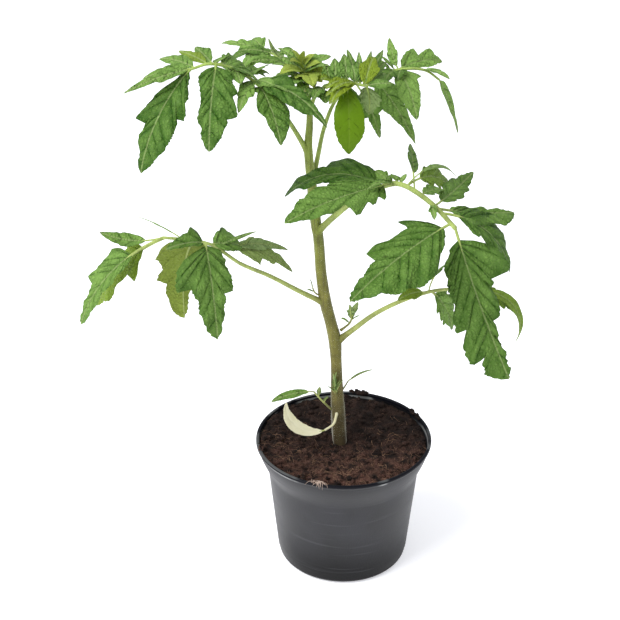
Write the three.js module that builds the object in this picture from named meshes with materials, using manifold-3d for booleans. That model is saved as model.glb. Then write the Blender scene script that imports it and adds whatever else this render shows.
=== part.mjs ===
// A young tomato plant in a round plastic nursery pot filled with peat soil.
// Millimetres, +Z up. The origin is the middle of the pot's foot, on the surface that it stands on.
// -Y is the front: the side with the withered seed leaf and the largest hanging leaflets.
import * as THREE from "three";
import { mergeVertices } from "three/addons/utils/BufferGeometryUtils.js";
import Module from "manifold-3d";

const wasm = await Module();
wasm.setup();

// ---- Driving dimensions ----

const POT = {
  height: 100,
  rimRadius: 65,
  flareRadius: 56, // outside, where the wall starts to flare into the rim
  flareStart: 74,
  flareCurve: 1.4, // a higher value leaves the wall more softly
  footRadius: 48.5,
  footRounding: 5,
  wall: 1.2,
  wallHeights: [74, 83, 92], // where the wall has a ring of corners
  bead: 1.1, // radius of the rolled lip
  lipTurns: [-0.4, 0, 0.35, 0.7], // corners round the lip, as shares of half a turn
  floorRise: 3, // the ring of drain holes stands this far above the foot ring and the pad
  floorBevel: 3, // where the wall meets the floor inside
  footRingInner: 38,
  padRadius: 12, // the round pad in the middle of the underside, level with the foot ring
  footSlope: 2, // how far the sides of the foot ring and the pad lean out
  holes: 8,
  holeRadius: 3.4,
  holeCircle: 31,
  holeSides: 10,
  sides: 32,
};

const SOIL = {
  level: 95,
  highest: 98, // stays below the lip
  lump: 1.8, // height of the clods
  moundBack: 2.6, // the soil is heaped towards the back
  edgeHeight: 92, // the top is as wide as the pot is inside at this height
  bevel: 4, // round the bottom
  gap: 0.3, // all round, to the pot
  rings: 5,
  // The clods are two waves, one along each axis, in radians for each millimetre. Each wanders with
  // the other axis.
  wave: { x: 0.19, y: 0.21 },
  wander: { x: 0.9, y: 1.3 },
  wanderWave: { x: 0.11, y: 0.13 },
};

const FIT_GAP = 0.3; // between a leaf's root and the stem, and between the stem and its hole

const BLADE = {
  thickness: 0.7,
  tipHalfWidth: 0.35,
  lobeLean: 0.4, // how far a lobe points forward, for each millimetre that it reaches out
  greatestLean: 0.3, // as a share of what is left of the blade
  droop: 0.35, // how far the halves curl down towards their edge
  unevenness: 0.24, // how much the lobes of a leaflet differ in size
  leastStalkRadius: 0.35,
  stalkRadiusGrowth: 0.022, // a wider leaflet has a stouter stalk
  greatestStalkRadius: 0.95,
};

// How finely the round bars are split, along and round them.
const BARS = { stemSteps: 24, stemSides: 8, stalkStepsPerPoint: 1.5, stalkSides: 6 };

const WELD_WITHIN = 1e-4; // corners closer than this are one corner

// Outlines of leaflets, from the base to the tip, as shares of the blade's length and half width. Most have
// two like halves. The large leaflets at the front have a left and a right half of their own, as seen from
// above with the tip ahead.
const OUTLINES = {
  toothed: [
    [0.06, 0.5], [0.16, 0.82], [0.23, 0.68], [0.34, 1], [0.42, 0.74],
    [0.53, 0.8], [0.61, 0.52], [0.78, 0.36], [1, 0],
  ],
  lobed: [
    [0.07, 0.55], [0.18, 0.8], [0.26, 0.62], [0.4, 1],
    [0.49, 0.52], [0.62, 0.44], [0.82, 0.26], [1, 0],
  ],
  cleft: [[0.08, 0.5], [0.24, 1], [0.33, 0.45], [0.5, 0.6], [0.58, 0.38], [0.78, 0.3], [1, 0]],
  small: [[0.15, 0.7], [0.4, 1], [0.5, 0.7], [0.7, 0.55], [1, 0]],
  slim: [[0.25, 0.9], [0.6, 0.8], [1, 0]],
  tailed: [[0.1, 0.8], [0.25, 1], [0.42, 0.75], [0.7, 0.4], [1, 0]],
  smooth: [[0.12, 0.6], [0.35, 1], [0.6, 0.9], [0.82, 0.5], [1, 0]],
  mitten: {
    left: [[0.04, 0.5], [0.17, 0.58], [0.42, 0.74], [0.48, 0.34], [0.6, 0.34], [0.8, 0.2], [1, 0]],
    right: [[0.04, 1], [0.17, 1.2], [0.28, 1.2], [0.33, 0.7], [0.48, 0.56], [0.8, 0.38], [1, 0]],
  },
  wavy: {
    left: [
      [0.02, 0.8], [0.28, 1.14], [0.42, 0.8], [0.54, 1],
      [0.6, 0.63], [0.76, 0.58], [0.93, 0.35], [1, 0],
    ],
    right: [[0.02, 0.6], [0.28, 0.8], [0.54, 0.5], [0.6, 0.35], [0.76, 0.22], [1, 0]],
  },
  hooked: {
    left: [[0.07, 0.4], [0.26, 0.5], [0.51, 0.5], [0.68, 0.5], [0.86, 0.36], [1, 0]],
    right: [[0.07, 1.1], [0.26, 0.82], [0.45, 0.97], [0.51, 0.46], [0.68, 0.28], [0.86, 0.2], [1, 0]],
  },
  curled: {
    left: [[0.05, 0.6], [0.14, 1.4], [0.26, 0.75], [0.5, 0.76], [0.67, 0.92], [0.8, 0.5], [1, 0]],
    right: [[0.05, 0.6], [0.26, 0.6], [0.5, 0.4], [0.8, 0.16], [1, 0]],
  },
  shield: {
    left: [[0.05, 0.5], [0.25, 0.85], [0.42, 1.12], [0.52, 0.8], [0.78, 0.66], [1, 0]],
    right: [[0.05, 0.45], [0.25, 0.7], [0.52, 0.5], [0.78, 0.36], [1, 0]],
  },
  shouldered: {
    left: [[0.04, 0.3], [0.25, 0.3], [0.5, 0.3], [0.75, 0.2], [1, 0]],
    right: [[0.04, 1.35], [0.25, 0.8], [0.5, 0.58], [0.75, 0.3], [1, 0]],
  },
  fingered: {
    left: [
      [0.03, 0.75], [0.1, 0.46], [0.16, 0.9], [0.23, 0.64], [0.34, 1.08],
      [0.42, 0.4], [0.63, 0.55], [0.81, 0.3], [1, 0],
    ],
    right: [[0.03, 0.55], [0.16, 0.6], [0.42, 0.76], [0.63, 0.65], [0.81, 0.36], [1, 0]],
  },
  humped: {
    left: [[0.05, 0.4], [0.28, 0.8], [0.41, 1], [0.56, 1.05], [0.72, 0.75], [0.86, 0.4], [1, 0]],
    right: [
      [0.05, 1], [0.13, 1.2], [0.28, 1.55], [0.41, 1.35], [0.48, 0.62],
      [0.56, 0.7], [0.72, 0.74], [0.86, 0.46], [1, 0],
    ],
  },
  winged: {
    left: [
      [0.05, 0.45], [0.14, 0.85], [0.34, 1.32], [0.49, 1.1], [0.63, 0.93],
      [0.74, 0.62], [0.89, 0.26], [1, 0],
    ],
    right: [
      [0.02, 0.7], [0.05, 1.3], [0.14, 0.7], [0.34, 0.81], [0.49, 0.97],
      [0.57, 0.4], [0.74, 0.33], [0.89, 0.18], [1, 0],
    ],
  },
  ragged: {
    left: [
      [0.04, 0.9], [0.12, 1.05], [0.21, 1.03], [0.27, 0.5], [0.34, 0.42],
      [0.53, 0.4], [0.58, 0.18], [0.72, 0.12], [0.88, 0.12], [1, 0],
    ],
    right: [
      [0.04, 0.4], [0.12, 0.6], [0.34, 0.66], [0.5, 0.83], [0.53, 0.5], [0.58, 0.76],
      [0.7, 0.8], [0.745, 0.72], [0.76, 0.4], [0.84, 0.5], [0.9, 0.46], [1, 0],
    ],
  },
  onesided: {
    left: [[0.06, 0.3], [0.35, 0.35], [0.6, 0.28], [0.8, 0.2], [1, 0]],
    right: [[0.06, 1.05], [0.24, 1], [0.35, 0.6], [0.6, 0.95], [0.8, 0.66], [1, 0]],
  },
  broad: {
    left: [
      [0.03, 0.8], [0.13, 0.85], [0.21, 1.1], [0.28, 0.95], [0.46, 1.18],
      [0.55, 0.76], [0.7, 0.64], [0.87, 0.34], [1, 0],
    ],
    right: [[0.03, 0.55], [0.13, 0.68], [0.46, 0.48], [0.55, 0.54], [0.7, 0.36], [0.87, 0.25], [1, 0]],
  },
  spurred: {
    left: [
      [0.08, 0.45], [0.2, 0.85], [0.31, 1.12], [0.36, 0.8], [0.45, 1],
      [0.6, 0.86], [0.8, 0.53], [1, 0],
    ],
    right: [
      [0.08, 0.2], [0.2, 0.3], [0.31, 0.67], [0.49, 0.96],
      [0.54, 0.42], [0.6, 0.5], [0.8, 0.28], [1, 0],
    ],
  },
  notched: {
    left: [[0.03, 0.75], [0.3, 1.08], [0.58, 0.93], [0.8, 0.52], [1, 0]],
    right: [[0.03, 0.9], [0.14, 0.4], [0.42, 0.83], [0.58, 0.58], [0.8, 0.28], [1, 0]],
  },
  swept: {
    left: [[0.03, 0.55], [0.15, 0.87], [0.34, 0.5], [0.55, 0.32], [0.78, 0.16], [1, 0]],
    right: [[0.03, 0.4], [0.15, 0.7], [0.44, 0.8], [0.62, 0.7], [0.78, 0.2], [1, 0]],
  },
  forked: {
    left: [[0.05, 0.5], [0.33, 0.87], [0.44, 0.3], [0.68, 0.75], [0.78, 0.3], [1, 0]],
    right: [[0.05, 0.35], [0.44, 0.5], [0.78, 0.3], [1, 0]],
  },
  arrow: {
    left: [[0.08, 1.4], [0.2, 0.95], [0.42, 0.8], [0.62, 0.6], [0.86, 0.28], [1, 0]],
    right: [[0.08, 0.62], [0.42, 0.9], [0.62, 0.8], [0.86, 0.4], [1, 0]],
  },
};

// The main stem's centre line, from its buried end to its growing tip, with the radius at each point.
const STEM = [
  { at: [1, 0, 62], radius: 3.2 },
  { at: [-1, 0, 80], radius: 4.8 },
  { at: [-3, 0, 98], radius: 5.2 },
  { at: [-5, 0, 136], radius: 4.7 },
  { at: [-6, 0, 164], radius: 4.1 },
  { at: [-7, 0, 182], radius: 4.6 },
  { at: [-10, 0, 197], radius: 4.2 },
  { at: [-14, 0, 214], radius: 4.3 },
  { at: [-17, 0, 236], radius: 3.8 },
  { at: [-19, 0, 262], radius: 3.6 },
  { at: [-21, 0, 276], radius: 3.6 },
  { at: [-24, 0, 306], radius: 3.2 },
  { at: [-26, 0, 330], radius: 2.8 },
  { at: [-25, 0, 352], radius: 2.1 },
  { at: [-27, 0, 372], radius: 1.6 },
];

// ---- The leaves ----
// A leaf is a stalk, given by its centre line and its radius at the root and at the end, with leaflets on it.
// A leaflet leaves the stalk at `at`, counted in points of the centre line, and its midrib ends at `tip`.
// `stalk` is the bare length before the blade, and `width` is the blade's greatest width. The midrib turns
// through `bend` degrees on its way, `roll` degrees turn the blade about it, and its halves are raised by
// `fold` degrees.

const LEAVES = [
  {
    name: "leaf_low_right",
    line: [
      [-5, 0, 182], [6, -3, 193], [21, -4, 206], [39, -2, 215],
      [60, 3, 220], [80, 11, 218], [98, 19, 212],
    ],
    radius: [2.5, 0.9],
    leaflets: [
      { at: 4.05, tip: [78, 12, 184], width: 24, stalk: 4, bend: 35, roll: -60, shape: "toothed", fold: 14 },
      { at: 3.9, tip: [36, -14, 222], width: 11, stalk: 5, bend: 40, roll: 30 },
      { at: 3.95, tip: [72, 14, 236], width: 7, stalk: 12, bend: 80, roll: 28, fold: 6 },
      { at: 5.2, tip: [100, 52, 203], width: 22, stalk: 5, bend: 60, shape: "toothed", fold: 14 },
      { at: 5.9, tip: [129, 26, 186], width: 15, stalk: 3, bend: 40, roll: -40, shape: "lobed", fold: 20 },
      { at: 6, tip: [125, 18, 170], width: 10, stalk: 4, bend: 118, roll: -30, shape: "slim", fold: 20 },
    ],
  },
  {
    name: "leaf_low_left",
    line: [
      [-14, 0, 212], [-32, -8, 226], [-52, -20, 244], [-72, -32, 260],
      [-89, -38, 276], [-104, -40, 281], [-122, -42, 284],
    ],
    radius: [2.4, 0.9],
    leaflets: [
      { at: 4.35, tip: [-87, -57, 215], width: 40, stalk: 2, bend: 16, roll: 2, shape: "mitten", fold: 10 },
      { at: 4.1, tip: [-71, -24, 269], width: 26, stalk: 2, bend: 30, roll: -25, shape: "shield", fold: 10 },
      { at: 3.7, tip: [-37, 2, 236], width: 22, stalk: 14, bend: 44, roll: -45, shape: "cleft", fold: 10 },
      { at: 4.9, tip: [-113, -12, 207], width: 36, stalk: 4, bend: 60, roll: -12, shape: "wavy" },
      { at: 4.35, tip: [-119, -56, 282], width: 18, stalk: 2, bend: 30, roll: 38, shape: "shouldered" },
      { at: 5.3, tip: [-141, -20, 289], width: 4, stalk: 8, bend: 20, roll: -28, fold: 4 },
      { at: 6, tip: [-179, -52, 224], width: 26, stalk: 24, bend: 52, roll: 30, shape: "hooked" },
      { at: 5.9, tip: [-172, -24, 223], width: 24, stalk: 20, bend: 40, roll: 50, shape: "curled" },
      { at: 6, tip: [-164, -40, 287], width: 11, stalk: 12, bend: -45, roll: 35 },
      { at: 3.75, tip: [-40, 6, 251], width: 9, stalk: 14, bend: 30, roll: -45 },
      { at: 3.9, tip: [-61, -20, 278], width: 3, stalk: 3, bend: 10, roll: -30, shape: "slim" },
    ],
  },
  {
    name: "leaf_mid_right",
    line: [
      [-20, 0, 268], [-8, -10, 285], [7, -23, 304], [24, -35, 318],
      [36, -41, 321], [54, -48, 311], [69, -58, 298],
    ],
    radius: [2.6, 1.5],
    leaflets: [
      { at: 3.1, tip: [-41, -76, 310], width: 38, stalk: 3, bend: 20, roll: 15, shape: "fingered", fold: 10 },
      { at: 2.9, tip: [-42, -18, 302], width: 26, stalk: 3, bend: 80, roll: 8, shape: "humped", fold: 14 },
      { at: 3.4, tip: [24, -36, 326], width: 10, stalk: 1, bend: 30, roll: -10 },
      { at: 3.8, tip: [38, -34, 326], width: 4, stalk: 1, bend: 30, shape: "slim" },
      { at: 4.4, tip: [43, 11, 329], width: 10, stalk: 18, bend: 20, roll: -40, fold: 18 },
      { at: 4.1, tip: [72, 0, 298], width: 18, stalk: 15, bend: 66, roll: -50, shape: "toothed" },
      { at: 5.1, tip: [87, 14, 307], width: 18, stalk: 12, bend: -10, roll: -25, shape: "toothed", fold: 14 },
      { at: 5.0, tip: [55, -60, 305], width: 6, stalk: 1, bend: 20, fold: 20 },
      { at: 5.2, tip: [112, -20, 292], width: 26, stalk: 11, bend: -12, roll: -20, shape: "onesided" },
      { at: 5.4, tip: [108, -44, 259], width: 32, stalk: 12, bend: 70, roll: -25, shape: "toothed" },
      { at: 5.8, tip: [0, -108, 271], width: 42, stalk: 7, bend: 20, roll: 10, shape: "winged", fold: 8 },
      { at: 6, tip: [105, -95, 207], width: 50, stalk: 8, bend: -10, roll: -30, shape: "ragged", fold: 8 },
      { at: 4.1, tip: [75, 6, 306], width: 4, stalk: 18, bend: 75, roll: -30, shape: "slim" },
    ],
  },
  {
    name: "leaf_top_left",
    line: [
      [-26, 0, 326], [-33, -4, 341], [-42, -10, 358], [-55, -16, 377],
      [-70, -18, 390], [-87, -20, 396], [-101, -22, 393],
    ],
    radius: [2, 0.9],
    leaflets: [
      { at: 3.2, tip: [-43, -62, 357], width: 22, stalk: 3, bend: 50, roll: 8, shape: "notched", fold: 10 },
      { at: 3.35, tip: [-14, -52, 365], width: 24, stalk: 6, bend: 60, roll: -20, shape: "swept" },
      { at: 3.4, tip: [-70, -42, 371], width: 11, stalk: 4, bend: 45, fold: 14 },
      { at: 4.85, tip: [-89, -50, 348], width: 29, stalk: 2, bend: 45, shape: "broad", fold: 10 },
      { at: 4.8, tip: [-66, -4, 386], width: 22, stalk: 3, bend: 40, roll: -30, shape: "toothed", fold: 10 },
      { at: 5.0, tip: [-100, 10, 397], width: 11, stalk: 3, bend: 10, roll: 35, fold: 10 },
      { at: 5.2, tip: [-112, 20, 391], width: 8, stalk: 3, bend: 10, roll: 35, fold: 10 },
      { at: 6, tip: [-133, -50, 333], width: 33, stalk: 2, bend: 42, roll: 12, shape: "spurred", fold: 8 },
      { at: 6, tip: [-142, -42, 384], width: 8, stalk: 2, bend: 20, roll: 30 },
      { at: 5.9, tip: [-132, -20, 386], width: 10, stalk: 2, bend: 20, roll: 30 },
      { at: 5.8, tip: [-124, 10, 389], width: 11, stalk: 2, bend: 20, roll: 30 },
      { at: 3.4, tip: [-66, -8, 372], width: 15, stalk: 1, bend: 40, roll: 20 },
      { at: 3.7, tip: [-76, -8, 380], width: 11, stalk: 1, bend: 40 },
      { at: 3.4, tip: [-69, -30, 379], width: 11, stalk: 1, bend: 50 },
    ],
  },
  {
    name: "leaf_top_right",
    line: [
      [-23, 0, 306], [-19, 8, 324], [-15, 15, 340], [-7, 21, 357],
      [9, 24, 370], [32, 22, 377], [50, 18, 379], [61, 15, 373],
    ],
    radius: [2, 0.8],
    leaflets: [
      { at: 4.35, tip: [48, 30, 321], width: 17, stalk: 4, bend: 15, roll: -75, shape: "tailed", fold: 14 },
      { at: 5.1, tip: [45, -15, 356], width: 18, stalk: 2, bend: 50, shape: "arrow", fold: 10 },
      { at: 5.1, tip: [65, 40, 377], width: 24, stalk: 3, bend: 40, roll: -35, shape: "forked", fold: 14 },
      { at: 5.1, tip: [28, 30, 397], width: 8, stalk: 3, bend: -25, roll: 60, fold: 20 },
      { at: 5, tip: [22, 24, 386], width: 6, stalk: 2, bend: 20, shape: "slim", fold: 16 },
      { at: 6, tip: [67, 4, 377], width: 8, stalk: 2, bend: 40, fold: 16 },
      { at: 7, tip: [76, 22, 332], width: 9, stalk: 1, bend: 12, roll: -55, shape: "tailed", fold: 22 },
      { at: 3.8, tip: [22, 6, 335], width: 15, stalk: 8, bend: 40, roll: -60, shape: "lobed", fold: 14 },
    ],
  },
  {
    name: "leaf_top_front",
    line: [[-25, 0, 356], [-21, -6, 370], [-12, -14, 380], [0, -22, 384], [11, -28, 384]],
    radius: [1.7, 0.8],
    leaflets: [
      { at: 2.9, tip: [0, -42, 343], width: 19, stalk: 5, bend: 70, shape: "smooth", fold: 6 },
      { at: 3.2, tip: [-15, -36, 380], width: 7, stalk: 2, bend: 50, roll: 20, shape: "slim" },
      { at: 2.6, tip: [5, -34, 363], width: 13, stalk: 3, bend: 60, fold: 10 },
      { at: 4, tip: [23, 8, 396], width: 7, stalk: 3, bend: 10, roll: -30, shape: "slim", fold: 10 },
      { at: 4, tip: [13, -24, 363], width: 18, stalk: 2, bend: 60, shape: "toothed", fold: 8 },
      { at: 3.7, tip: [-1, 0, 399], width: 10, stalk: 2, bend: -20, roll: -20, fold: 18 },
      { at: 3.8, tip: [15, 6, 396], width: 7, stalk: 3, bend: -20, roll: -20, shape: "slim", fold: 14 },
      { at: 3.9, tip: [16, -6, 396], width: 14, stalk: 1, bend: 30, roll: -10, fold: 20 },
      { at: 3.6, tip: [7, 4, 396], width: 5, stalk: 3, bend: 10, shape: "slim", fold: 14 },
      { at: 3.3, tip: [-13, -40, 376], width: 7, stalk: 1, bend: 60, roll: 25, shape: "slim" },
      { at: 2.8, tip: [-2, -2, 394], width: 12, stalk: 2, bend: 10, shape: "slim", fold: 20 },
      { at: 2.4, tip: [-8, -6, 391], width: 11, stalk: 2, bend: 10, shape: "slim", fold: 20 },
      { at: 4, tip: [28, -24, 384], width: 8, stalk: 1, bend: 20, roll: -30, shape: "slim" },
      { at: 3, tip: [-15, -34, 384], width: 8, stalk: 1, bend: 70, roll: 20, shape: "slim" },
      { at: 3.4, tip: [-12, -42, 377], width: 9, stalk: 1, bend: 80, roll: 20, shape: "slim" },
      { at: 4, tip: [24, -10, 386], width: 14, stalk: 1, bend: 30, roll: -30 },
      { at: 3.4, tip: [2, -14, 393], width: 11, stalk: 1, bend: 30 },
    ],
  },
  {
    name: "leaf_top_back",
    line: [[-27, 1, 366], [-33, 10, 377], [-43, 22, 384], [-53, 34, 386], [-60, 44, 384]],
    radius: [1.4, 0.7],
    leaflets: [
      { at: 4, tip: [-86, 60, 383], width: 16, stalk: 1, bend: 30, roll: 10, shape: "cleft" },
      { at: 3.2, tip: [-43, 50, 375], width: 12, stalk: 2, bend: 50 },
      { at: 3, tip: [-68, 24, 376], width: 14, stalk: 2, bend: 45 },
      { at: 2.2, tip: [-52, 10, 403], width: 5, stalk: 2, bend: -30, fold: 20 },
      { at: 3.4, tip: [-64, 56, 388], width: 12, stalk: 2, bend: 20, roll: 20, fold: 16 },
      { at: 2.4, tip: [-36, 26, 390], width: 8, stalk: 2, bend: 40, roll: -20, shape: "slim" },
      { at: 2.6, tip: [-72, 30, 388], width: 9, stalk: 2, bend: 30, roll: 30 },
      { at: 1.6, tip: [-63, 4, 389], width: 8, stalk: 3, bend: 40, roll: 30, shape: "slim" },
      { at: 3.3, tip: [-70, 20, 379], width: 12, stalk: 2, bend: 50 },
      { at: 3.8, tip: [-79, 30, 381], width: 13, stalk: 1, bend: 40 },
    ],
  },
  {
    name: "shoot_tip",
    line: [[-27.2, 0.2, 372.6], [-28, 0, 378], [-29, 0, 384], [-30, 0, 388]],
    radius: [1.7, 1.1],
    leaflets: [
      { at: 2.4, tip: [-46, 8, 397], width: 9, stalk: 2, bend: 40, roll: 10, fold: 20 },
      { at: 2.7, tip: [-37, 2, 398], width: 7, stalk: 2, bend: 25, shape: "slim", fold: 24 },
      { at: 2.9, tip: [-29, -3, 399], width: 7, stalk: 1, bend: 20, roll: -30, shape: "slim", fold: 24 },
      { at: 2.6, tip: [-22, 2, 395], width: 7, stalk: 2, bend: 40, roll: -10, shape: "slim", fold: 20 },
      { at: 2.2, tip: [-11, 6, 392], width: 11, stalk: 3, bend: 50, roll: -20, fold: 16 },
      { at: 1.6, tip: [-13, -10, 391], width: 9, stalk: 2, bend: 50, roll: -10, shape: "slim", fold: 16 },
      { at: 1.8, tip: [-44, -14, 387], width: 13, stalk: 2, bend: 60, roll: 10, fold: 16 },
      { at: 1.2, tip: [-29, 17, 386], width: 8, stalk: 2, bend: 60, shape: "slim", fold: 16 },
      { at: 2.1, tip: [-38, -12, 395], width: 7, stalk: 2, bend: 60, roll: 20, shape: "slim", fold: 20 },
      { at: 2, tip: [-18, -4, 391], width: 7, stalk: 2, bend: 60, roll: -20, shape: "slim", fold: 20 },
      { at: 1.4, tip: [-23, -20, 381], width: 15, stalk: 1, bend: 70, fold: 16 },
      { at: 1.4, tip: [-50, -4, 390], width: 7, stalk: 2, bend: 50, shape: "slim", fold: 16 },
      { at: 0.9, tip: [-41, -18, 379], width: 15, stalk: 1, bend: 60 },
      { at: 1.7, tip: [-13, -4, 384], width: 15, stalk: 2, bend: 50, roll: -20 },
    ],
  },
  {
    name: "axil_shoot_right",
    line: [[-3, -1, 191], [3, -2, 197], [5, -2, 202]],
    radius: [0.9, 0.7],
    leaflets: [
      { at: 2, tip: [9, -3, 215], width: 6.5, stalk: 1, bend: 15, roll: 50, fold: 14 },
      { at: 1.6, tip: [10, -5, 205], width: 3.4, stalk: 1, bend: 20, fold: 14 },
    ],
  },
  {
    name: "axil_shoot_left",
    line: [[-16, -1, 218], [-21, -3, 222], [-23, -3, 226]],
    radius: [0.8, 0.5],
    leaflets: [
      { at: 2, tip: [-25, -3, 233], width: 2.6, stalk: 1, bend: 20, shape: "smooth", fold: 14 },
      { at: 1.3, tip: [-27, -5, 226], width: 2.6, stalk: 1, bend: 20, shape: "smooth", fold: 14 },
    ],
  },
  {
    name: "basal_shoot_left",
    line: [[-4, -1, 120], [-11, -2, 127], [-17, -4, 135], [-22, -5, 142]],
    radius: [1.1, 0.6],
    leaflets: [
      { at: 3, tip: [-53, -11, 137], width: 7, stalk: 4, bend: 35, roll: 30, shape: "smooth", fold: 16 },
      { at: 2.3, tip: [-18, -8, 148], width: 4, stalk: 2, bend: 10, fold: 14 },
      { at: 1.6, tip: [-12, -8, 140], width: 4, stalk: 2, bend: 10, fold: 14 },
    ],
  },
  {
    name: "basal_shoot_right",
    line: [[-4, 0, 136], [0, 1, 142], [3, 2, 147]],
    radius: [0.9, 0.5],
    leaflets: [
      { at: 2, tip: [21, 6, 154], width: 4.4, stalk: 2, bend: 30, roll: 50, shape: "smooth", fold: 20 },
    ],
  },
  {
    name: "basal_shoot_front",
    line: [[-5, -3, 138], [-6, -6.5, 141], [-7, -8, 145]],
    radius: [1, 0.7],
    leaflets: [
      { at: 2, tip: [-8.5, -9, 160], width: 4, stalk: 1, bend: 10, fold: 18 },
      { at: 1.6, tip: [-3, -10, 155], width: 4, stalk: 1, bend: 20, fold: 18 },
      { at: 1.2, tip: [-12, -9, 149], width: 3, stalk: 1, bend: 20, shape: "smooth", fold: 18 },
    ],
  },
  {
    name: "seed_leaf",
    line: [[-5, -3, 124], [-6, -7, 121], [-8, -10, 117], [-14, -13, 114]],
    radius: [1.1, 0.8],
    leaflets: [
      { at: 3, tip: [-42, -16, 140], width: 9, stalk: 2, bend: -115, roll: 62, shape: "smooth" },
    ],
  },
];

// ---- Colours ----

const COLOURS = {
  pot: { color: 0x2b2c30, roughness: 0.45 },
  soil: { color: 0x35251c, roughness: 1 },
  stem: { color: 0x77803f, roughness: 0.6 },
  leaf: { color: 0x3f7a35, roughness: 0.6 },
  youngLeaf: { color: 0x7f9f3a, roughness: 0.6 },
  witheredLeaf: { color: 0xd9d6a8, roughness: 0.8 },
};
const LEAF_COLOURS = { shoot_tip: "youngLeaf", seed_leaf: "witheredLeaf" };

// ---- Small helpers ----

const UP = new THREE.Vector3(0, 0, 1);
const vector = ([x, y, z]) => new THREE.Vector3(x, y, z);
const radians = THREE.MathUtils.degToRad;
const lerp = THREE.MathUtils.lerp;

// The same fraction from 0 to 1 each time for the same two numbers.
function scatter(a, b) {
  const x = Math.sin(a * 12.9898 + b * 78.233) * 43758.5453;
  return x - Math.floor(x);
}

// A closed geometry as a solid to join and cut.
function solid(geometry) {
  const bare = geometry.clone();
  bare.deleteAttribute("normal");
  bare.deleteAttribute("uv");
  const merged = mergeVertices(bare, WELD_WITHIN);
  return new wasm.Manifold(
    new wasm.Mesh({
      numProp: 3,
      vertProperties: merged.attributes.position.array,
      triVerts: new Uint32Array(merged.index.array),
    }),
  );
}

// A solid's largest body as a geometry, without the loose scraps that a cut can leave.
function geometryOf(body) {
  const largest = body.decompose().reduce((a, b) => (a.volume() > b.volume() ? a : b));
  const { vertProperties, triVerts } = largest.getMesh();
  return new THREE.BufferGeometry()
    .setAttribute("position", new THREE.BufferAttribute(vertProperties, 3))
    .setIndex(new THREE.BufferAttribute(triVerts, 1));
}

// A closed skin over rings of points, all with the same even count. The second half of a ring's points runs
// back under the first. Both faces are split into triangles alike, so that no waved blade crosses itself.
function loft(rings) {
  const count = rings[0].length;
  const triangles = [];
  for (let i = 0; i + 1 < rings.length; i++)
    for (let j = 0; j < count; j++) {
      const [a, b] = [i * count + j, i * count + ((j + 1) % count)];
      const [c, d] = [a + count, b + count];
      if (j < count / 2) triangles.push(a, b, d, a, d, c);
      else triangles.push(a, b, c, b, d, c);
    }
  const last = (rings.length - 1) * count;
  for (let j = 0; j + 1 < count / 2; j++) {
    const corners = [j, j + 1, count - 2 - j, count - 1 - j];
    const [a, b, c, d] = corners;
    triangles.push(a, d, c, a, c, b);
    const [e, f, g, h] = corners.map((k) => k + last);
    triangles.push(e, f, g, e, g, h);
  }
  const geometry = new THREE.BufferGeometry().setFromPoints(rings.flat());
  geometry.setIndex(triangles);
  const made = solid(geometry);
  if (made.volume() > 0) return made;
  geometry.setIndex(triangles.reverse());
  return solid(geometry);
}

// ---- Stalks and stem ----

// A round bar along a centre line. radiusAt gives its radius at a share of the line's length.
function bar(curve, radiusAt, steps, sides) {
  const { normals, binormals } = curve.computeFrenetFrames(steps);
  const rings = normals.map((normal, i) => {
    const centre = curve.getPointAt(i / steps);
    return Array.from({ length: sides }, (_, k) => {
      const turn = (2 * Math.PI * k) / sides;
      return centre
        .clone()
        .addScaledVector(normal, radiusAt(i / steps) * Math.cos(turn))
        .addScaledVector(binormals[i], radiusAt(i / steps) * Math.sin(turn));
    });
  });
  return loft(rings);
}

const lineThrough = (points) => new THREE.CatmullRomCurve3(points.map(vector), false, "catmullrom", 0.5);

// The main stem, with extra added to its radius where it is used as a cutter.
function stem(extra) {
  const curve = lineThrough(STEM.map((point) => point.at));
  const radiusAt = (share) => {
    const height = curve.getPointAt(share).z;
    const above = Math.max(1, STEM.findIndex((point) => point.at[2] >= height - 1e-6));
    const [low, high] = [STEM[above - 1], STEM[above]];
    return lerp(low.radius, high.radius, (height - low.at[2]) / (high.at[2] - low.at[2])) + extra;
  };
  return bar(curve, radiusAt, BARS.stemSteps, BARS.stemSides);
}

// ---- Leaflets ----

// The midrib of a leaflet: an arc from start to tip that bulges upwards. frame gives the place and the
// blade's directions at a share of its length.
function midrib(start, tip, bend, roll) {
  const chord = tip.clone().sub(start);
  const length = chord.length();
  const along = chord.normalize();
  const bulge = UP.clone().addScaledVector(along, -UP.dot(along)).normalize();
  const side = new THREE.Vector3().crossVectors(along, bulge);
  const half = bend / 2;
  const arcLength = (length * half) / Math.sin(half);
  const frame = (share) => {
    const angle = half - bend * share;
    const forward = (Math.sin(half) - Math.sin(angle)) / bend;
    const upward = (Math.cos(angle) - Math.cos(half)) / bend;
    const tangent = along.clone().multiplyScalar(Math.cos(angle)).addScaledVector(bulge, Math.sin(angle));
    const normal = bulge.clone().multiplyScalar(Math.cos(angle)).addScaledVector(along, -Math.sin(angle));
    return {
      centre: start
        .clone()
        .addScaledVector(along, forward * arcLength)
        .addScaledVector(bulge, upward * arcLength),
      tangent,
      across: side.clone().multiplyScalar(Math.cos(roll)).addScaledVector(normal, Math.sin(roll)),
      normal: normal.clone().multiplyScalar(Math.cos(roll)).addScaledVector(side, -Math.sin(roll)),
    };
  };
  return { arcLength, frame };
}

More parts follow.
